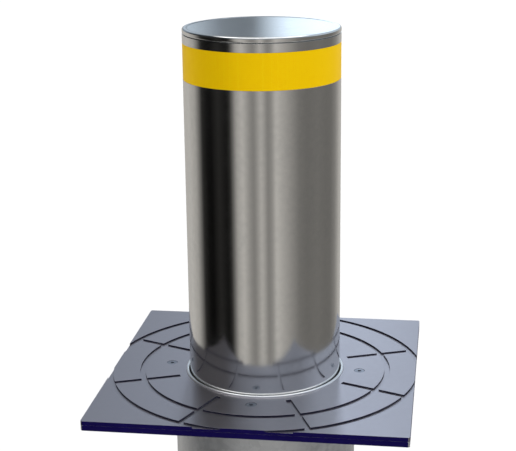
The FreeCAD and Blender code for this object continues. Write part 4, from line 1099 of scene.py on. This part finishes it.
def bent_strap():
    """A flat end face swept out by extrusion, turned through the bend in steps, then down the leg."""
    bpy.ops.object.select_all(action="DESELECT")
    bpy.ops.mesh.primitive_plane_add(size=1, rotation=(0, math.pi / 2, 0),
                                     location=(0, 0, strap_top - STRAP_THICK / 2))
    piece = bpy.context.object
    piece.scale = (STRAP_THICK, STRAP_WIDTH, 1)
    at_origin(piece)
    start_edit("strap")
    arm = STRAP_REACH - STRAP_BEND
    bpy.ops.mesh.extrude_region_move(TRANSFORM_OT_translate={"value": (arm, 0, 0)})
    hub = Vector((arm, 0, strap_top - STRAP_BEND))
    steps = 6
    for _ in range(steps):
        bpy.ops.mesh.extrude_region_move(TRANSFORM_OT_translate={"value": (0, 0, 0)})
        bpy.ops.transform.rotate(value=-math.pi / 2 / steps, orient_axis="Y", center_override=hub)
    leg = STRAP_REACH - STRAP_BEND + STRAP_THICK
    bpy.ops.mesh.extrude_region_move(TRANSFORM_OT_translate={"value": (0, 0, -leg)})
    bpy.ops.mesh.select_all(action="SELECT")
    bpy.ops.mesh.normals_make_consistent(inside=False)
    bpy.ops.object.mode_set(mode="OBJECT")
    rounded(piece, 0.6 * MM, 2, 40)
    return piece


strap_spots = round_spots(casing_radius + FIT, 4, 45)
for strap in copies(bent_strap(), "ground_strap", strap_spots, turning=True):
    done(strap, "concrete_anchors")

# %% [markdown]
# ## Motor and oil tank
# These sit in the sump, and show when it is opened. The motor's housing is a turned shell between two
# plain collars, and every third of its side faces is drawn outwards to make the cooling fins. The tank
# is blown plastic: a square with round corners is extruded upwards, and drawn in a little at each
# groove that stiffens its walls. It is hollow, with a hole for its cap and one for the suction pipe.

# %% Motor housing
motor_low, motor_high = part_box("motor_housing")
bearing_low, bearing_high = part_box("motor_bearings")
winding_low, winding_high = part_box("stator_winding")
MOTOR_SIDES, FIN_EVERY = 120, 3
COLLAR, COLLAR_SLOPE, FIN_DEPTH = 8 * MM, 2 * MM, 3.2 * MM
motor_radius = (motor_high[0] - motor_low[0]) / 2
motor_place = ((motor_low[0] + motor_high[0]) / 2, (motor_low[1] + motor_high[1]) / 2, 0)
motor_bore = (winding_high[0] - winding_low[0]) / 2 + FIT
motor_seat = (bearing_high[0] - bearing_low[0]) / 2 + FIT
motor_floor = winding_low[2] - FIT
shell_radius = motor_radius - FIN_DEPTH
motor = turned("motor_shell", [
    (motor_seat, motor_low[2]), (motor_radius, motor_low[2]), (motor_radius, motor_low[2] + COLLAR),
    (shell_radius, motor_low[2] + COLLAR + COLLAR_SLOPE),
    (shell_radius, motor_high[2] - COLLAR - COLLAR_SLOPE), (motor_radius, motor_high[2] - COLLAR),
    (motor_radius, motor_high[2]), (motor_bore, motor_high[2]), (motor_bore, motor_floor),
    (motor_seat, motor_floor),
], MOTOR_SIDES)
bpy.ops.object.mode_set(mode="EDIT")
bpy.ops.mesh.select_mode(type="FACE")
bpy.ops.mesh.select_all(action="DESELECT")
bpy.ops.object.mode_set(mode="OBJECT")
for face in motor.data.polygons:
    around = math.atan2(face.center.y, face.center.x) / (2 * math.pi) * MOTOR_SIDES
    on_shell = abs(face.center.xy.length - shell_radius) < 0.2 * MM and abs(face.normal.z) < 0.1
    face.select = on_shell and math.floor(around) % FIN_EVERY == 0
bpy.ops.object.mode_set(mode="EDIT")
bpy.ops.mesh.extrude_region_shrink_fatten(TRANSFORM_OT_shrink_fatten={"value": FIN_DEPTH - 0.1 * MM})
bpy.ops.mesh.select_mode(type="VERT")
bpy.ops.object.mode_set(mode="OBJECT")
motor.location = motor_place
done(motor, "motor_housing")

# %% Oil tank
tank_low, tank_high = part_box("oil_tank")
tank_low, tank_high = Vector(tank_low), Vector(tank_high)
suction_low, suction_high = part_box("suction_pipe")
TANK_WALL, TANK_CORNER, TANK_GROOVE = 2.5 * MM, 12 * MM, 0.97
GROOVE_HEIGHTS = (0.22, 0.42, 0.62, 0.82)


def moulded_box(name, low, high, grooves):
    """A box with round upright corners, drawn in at each groove."""
    bpy.ops.object.select_all(action="DESELECT")
    bpy.ops.mesh.primitive_plane_add(size=1)
    piece = bpy.context.object
    size = high - low
    piece.scale = (size.x, size.y, 1)
    piece.location = ((low.x + high.x) / 2, (low.y + high.y) / 2, low.z)
    at_origin(piece)
    start_edit(name)
    bpy.ops.mesh.bevel(offset=TANK_CORNER, segments=6, affect="VERTICES")
    centre = (low + high) / 2
    height = low.z
    steps = []
    for groove in grooves:
        middle = low.z + groove * size.z
        steps += [(middle - 5 * MM, 1), (middle - 3 * MM, TANK_GROOVE),
                  (middle + 3 * MM, 1), (middle + 5 * MM, 1 / TANK_GROOVE)]
    for level, scale in steps + [(high.z, 1)]:
        bpy.ops.mesh.extrude_region_move(TRANSFORM_OT_translate={"value": (0, 0, level - height)})
        if scale != 1:
            bpy.ops.transform.resize(value=(scale, scale, 1), center_override=centre)
        height = level
    bpy.ops.mesh.select_all(action="SELECT")
    bpy.ops.mesh.normals_make_consistent(inside=False)
    bpy.ops.object.mode_set(mode="OBJECT")
    return piece


tank = moulded_box("tank_moulding", tank_low, tank_high, GROOVE_HEIGHTS)
rounded(tank, 3 * MM, 4, 60)
inset = Vector((TANK_WALL, TANK_WALL, TANK_WALL))
subtract(tank, moulded_box("cutter", tank_low + inset, tank_high - inset, ()))
tank_middle = (tank_low + tank_high) / 2
subtract(tank, cylinder_cutter(10.1 * MM, tank_high.z - 5 * MM, tank_high.z + 5 * MM,
                               tank_middle.xy, 64))
bpy.ops.object.select_all(action="DESELECT")
bpy.ops.mesh.primitive_cylinder_add(
    vertices=32, radius=4.1 * MM, depth=12 * MM, rotation=(0, math.pi / 2, 0),
    location=(tank_low.x, tank_middle.y, (suction_low[2] + suction_high[2]) / 2))
subtract(tank, bpy.context.object)
done(tank, "oil_tank")
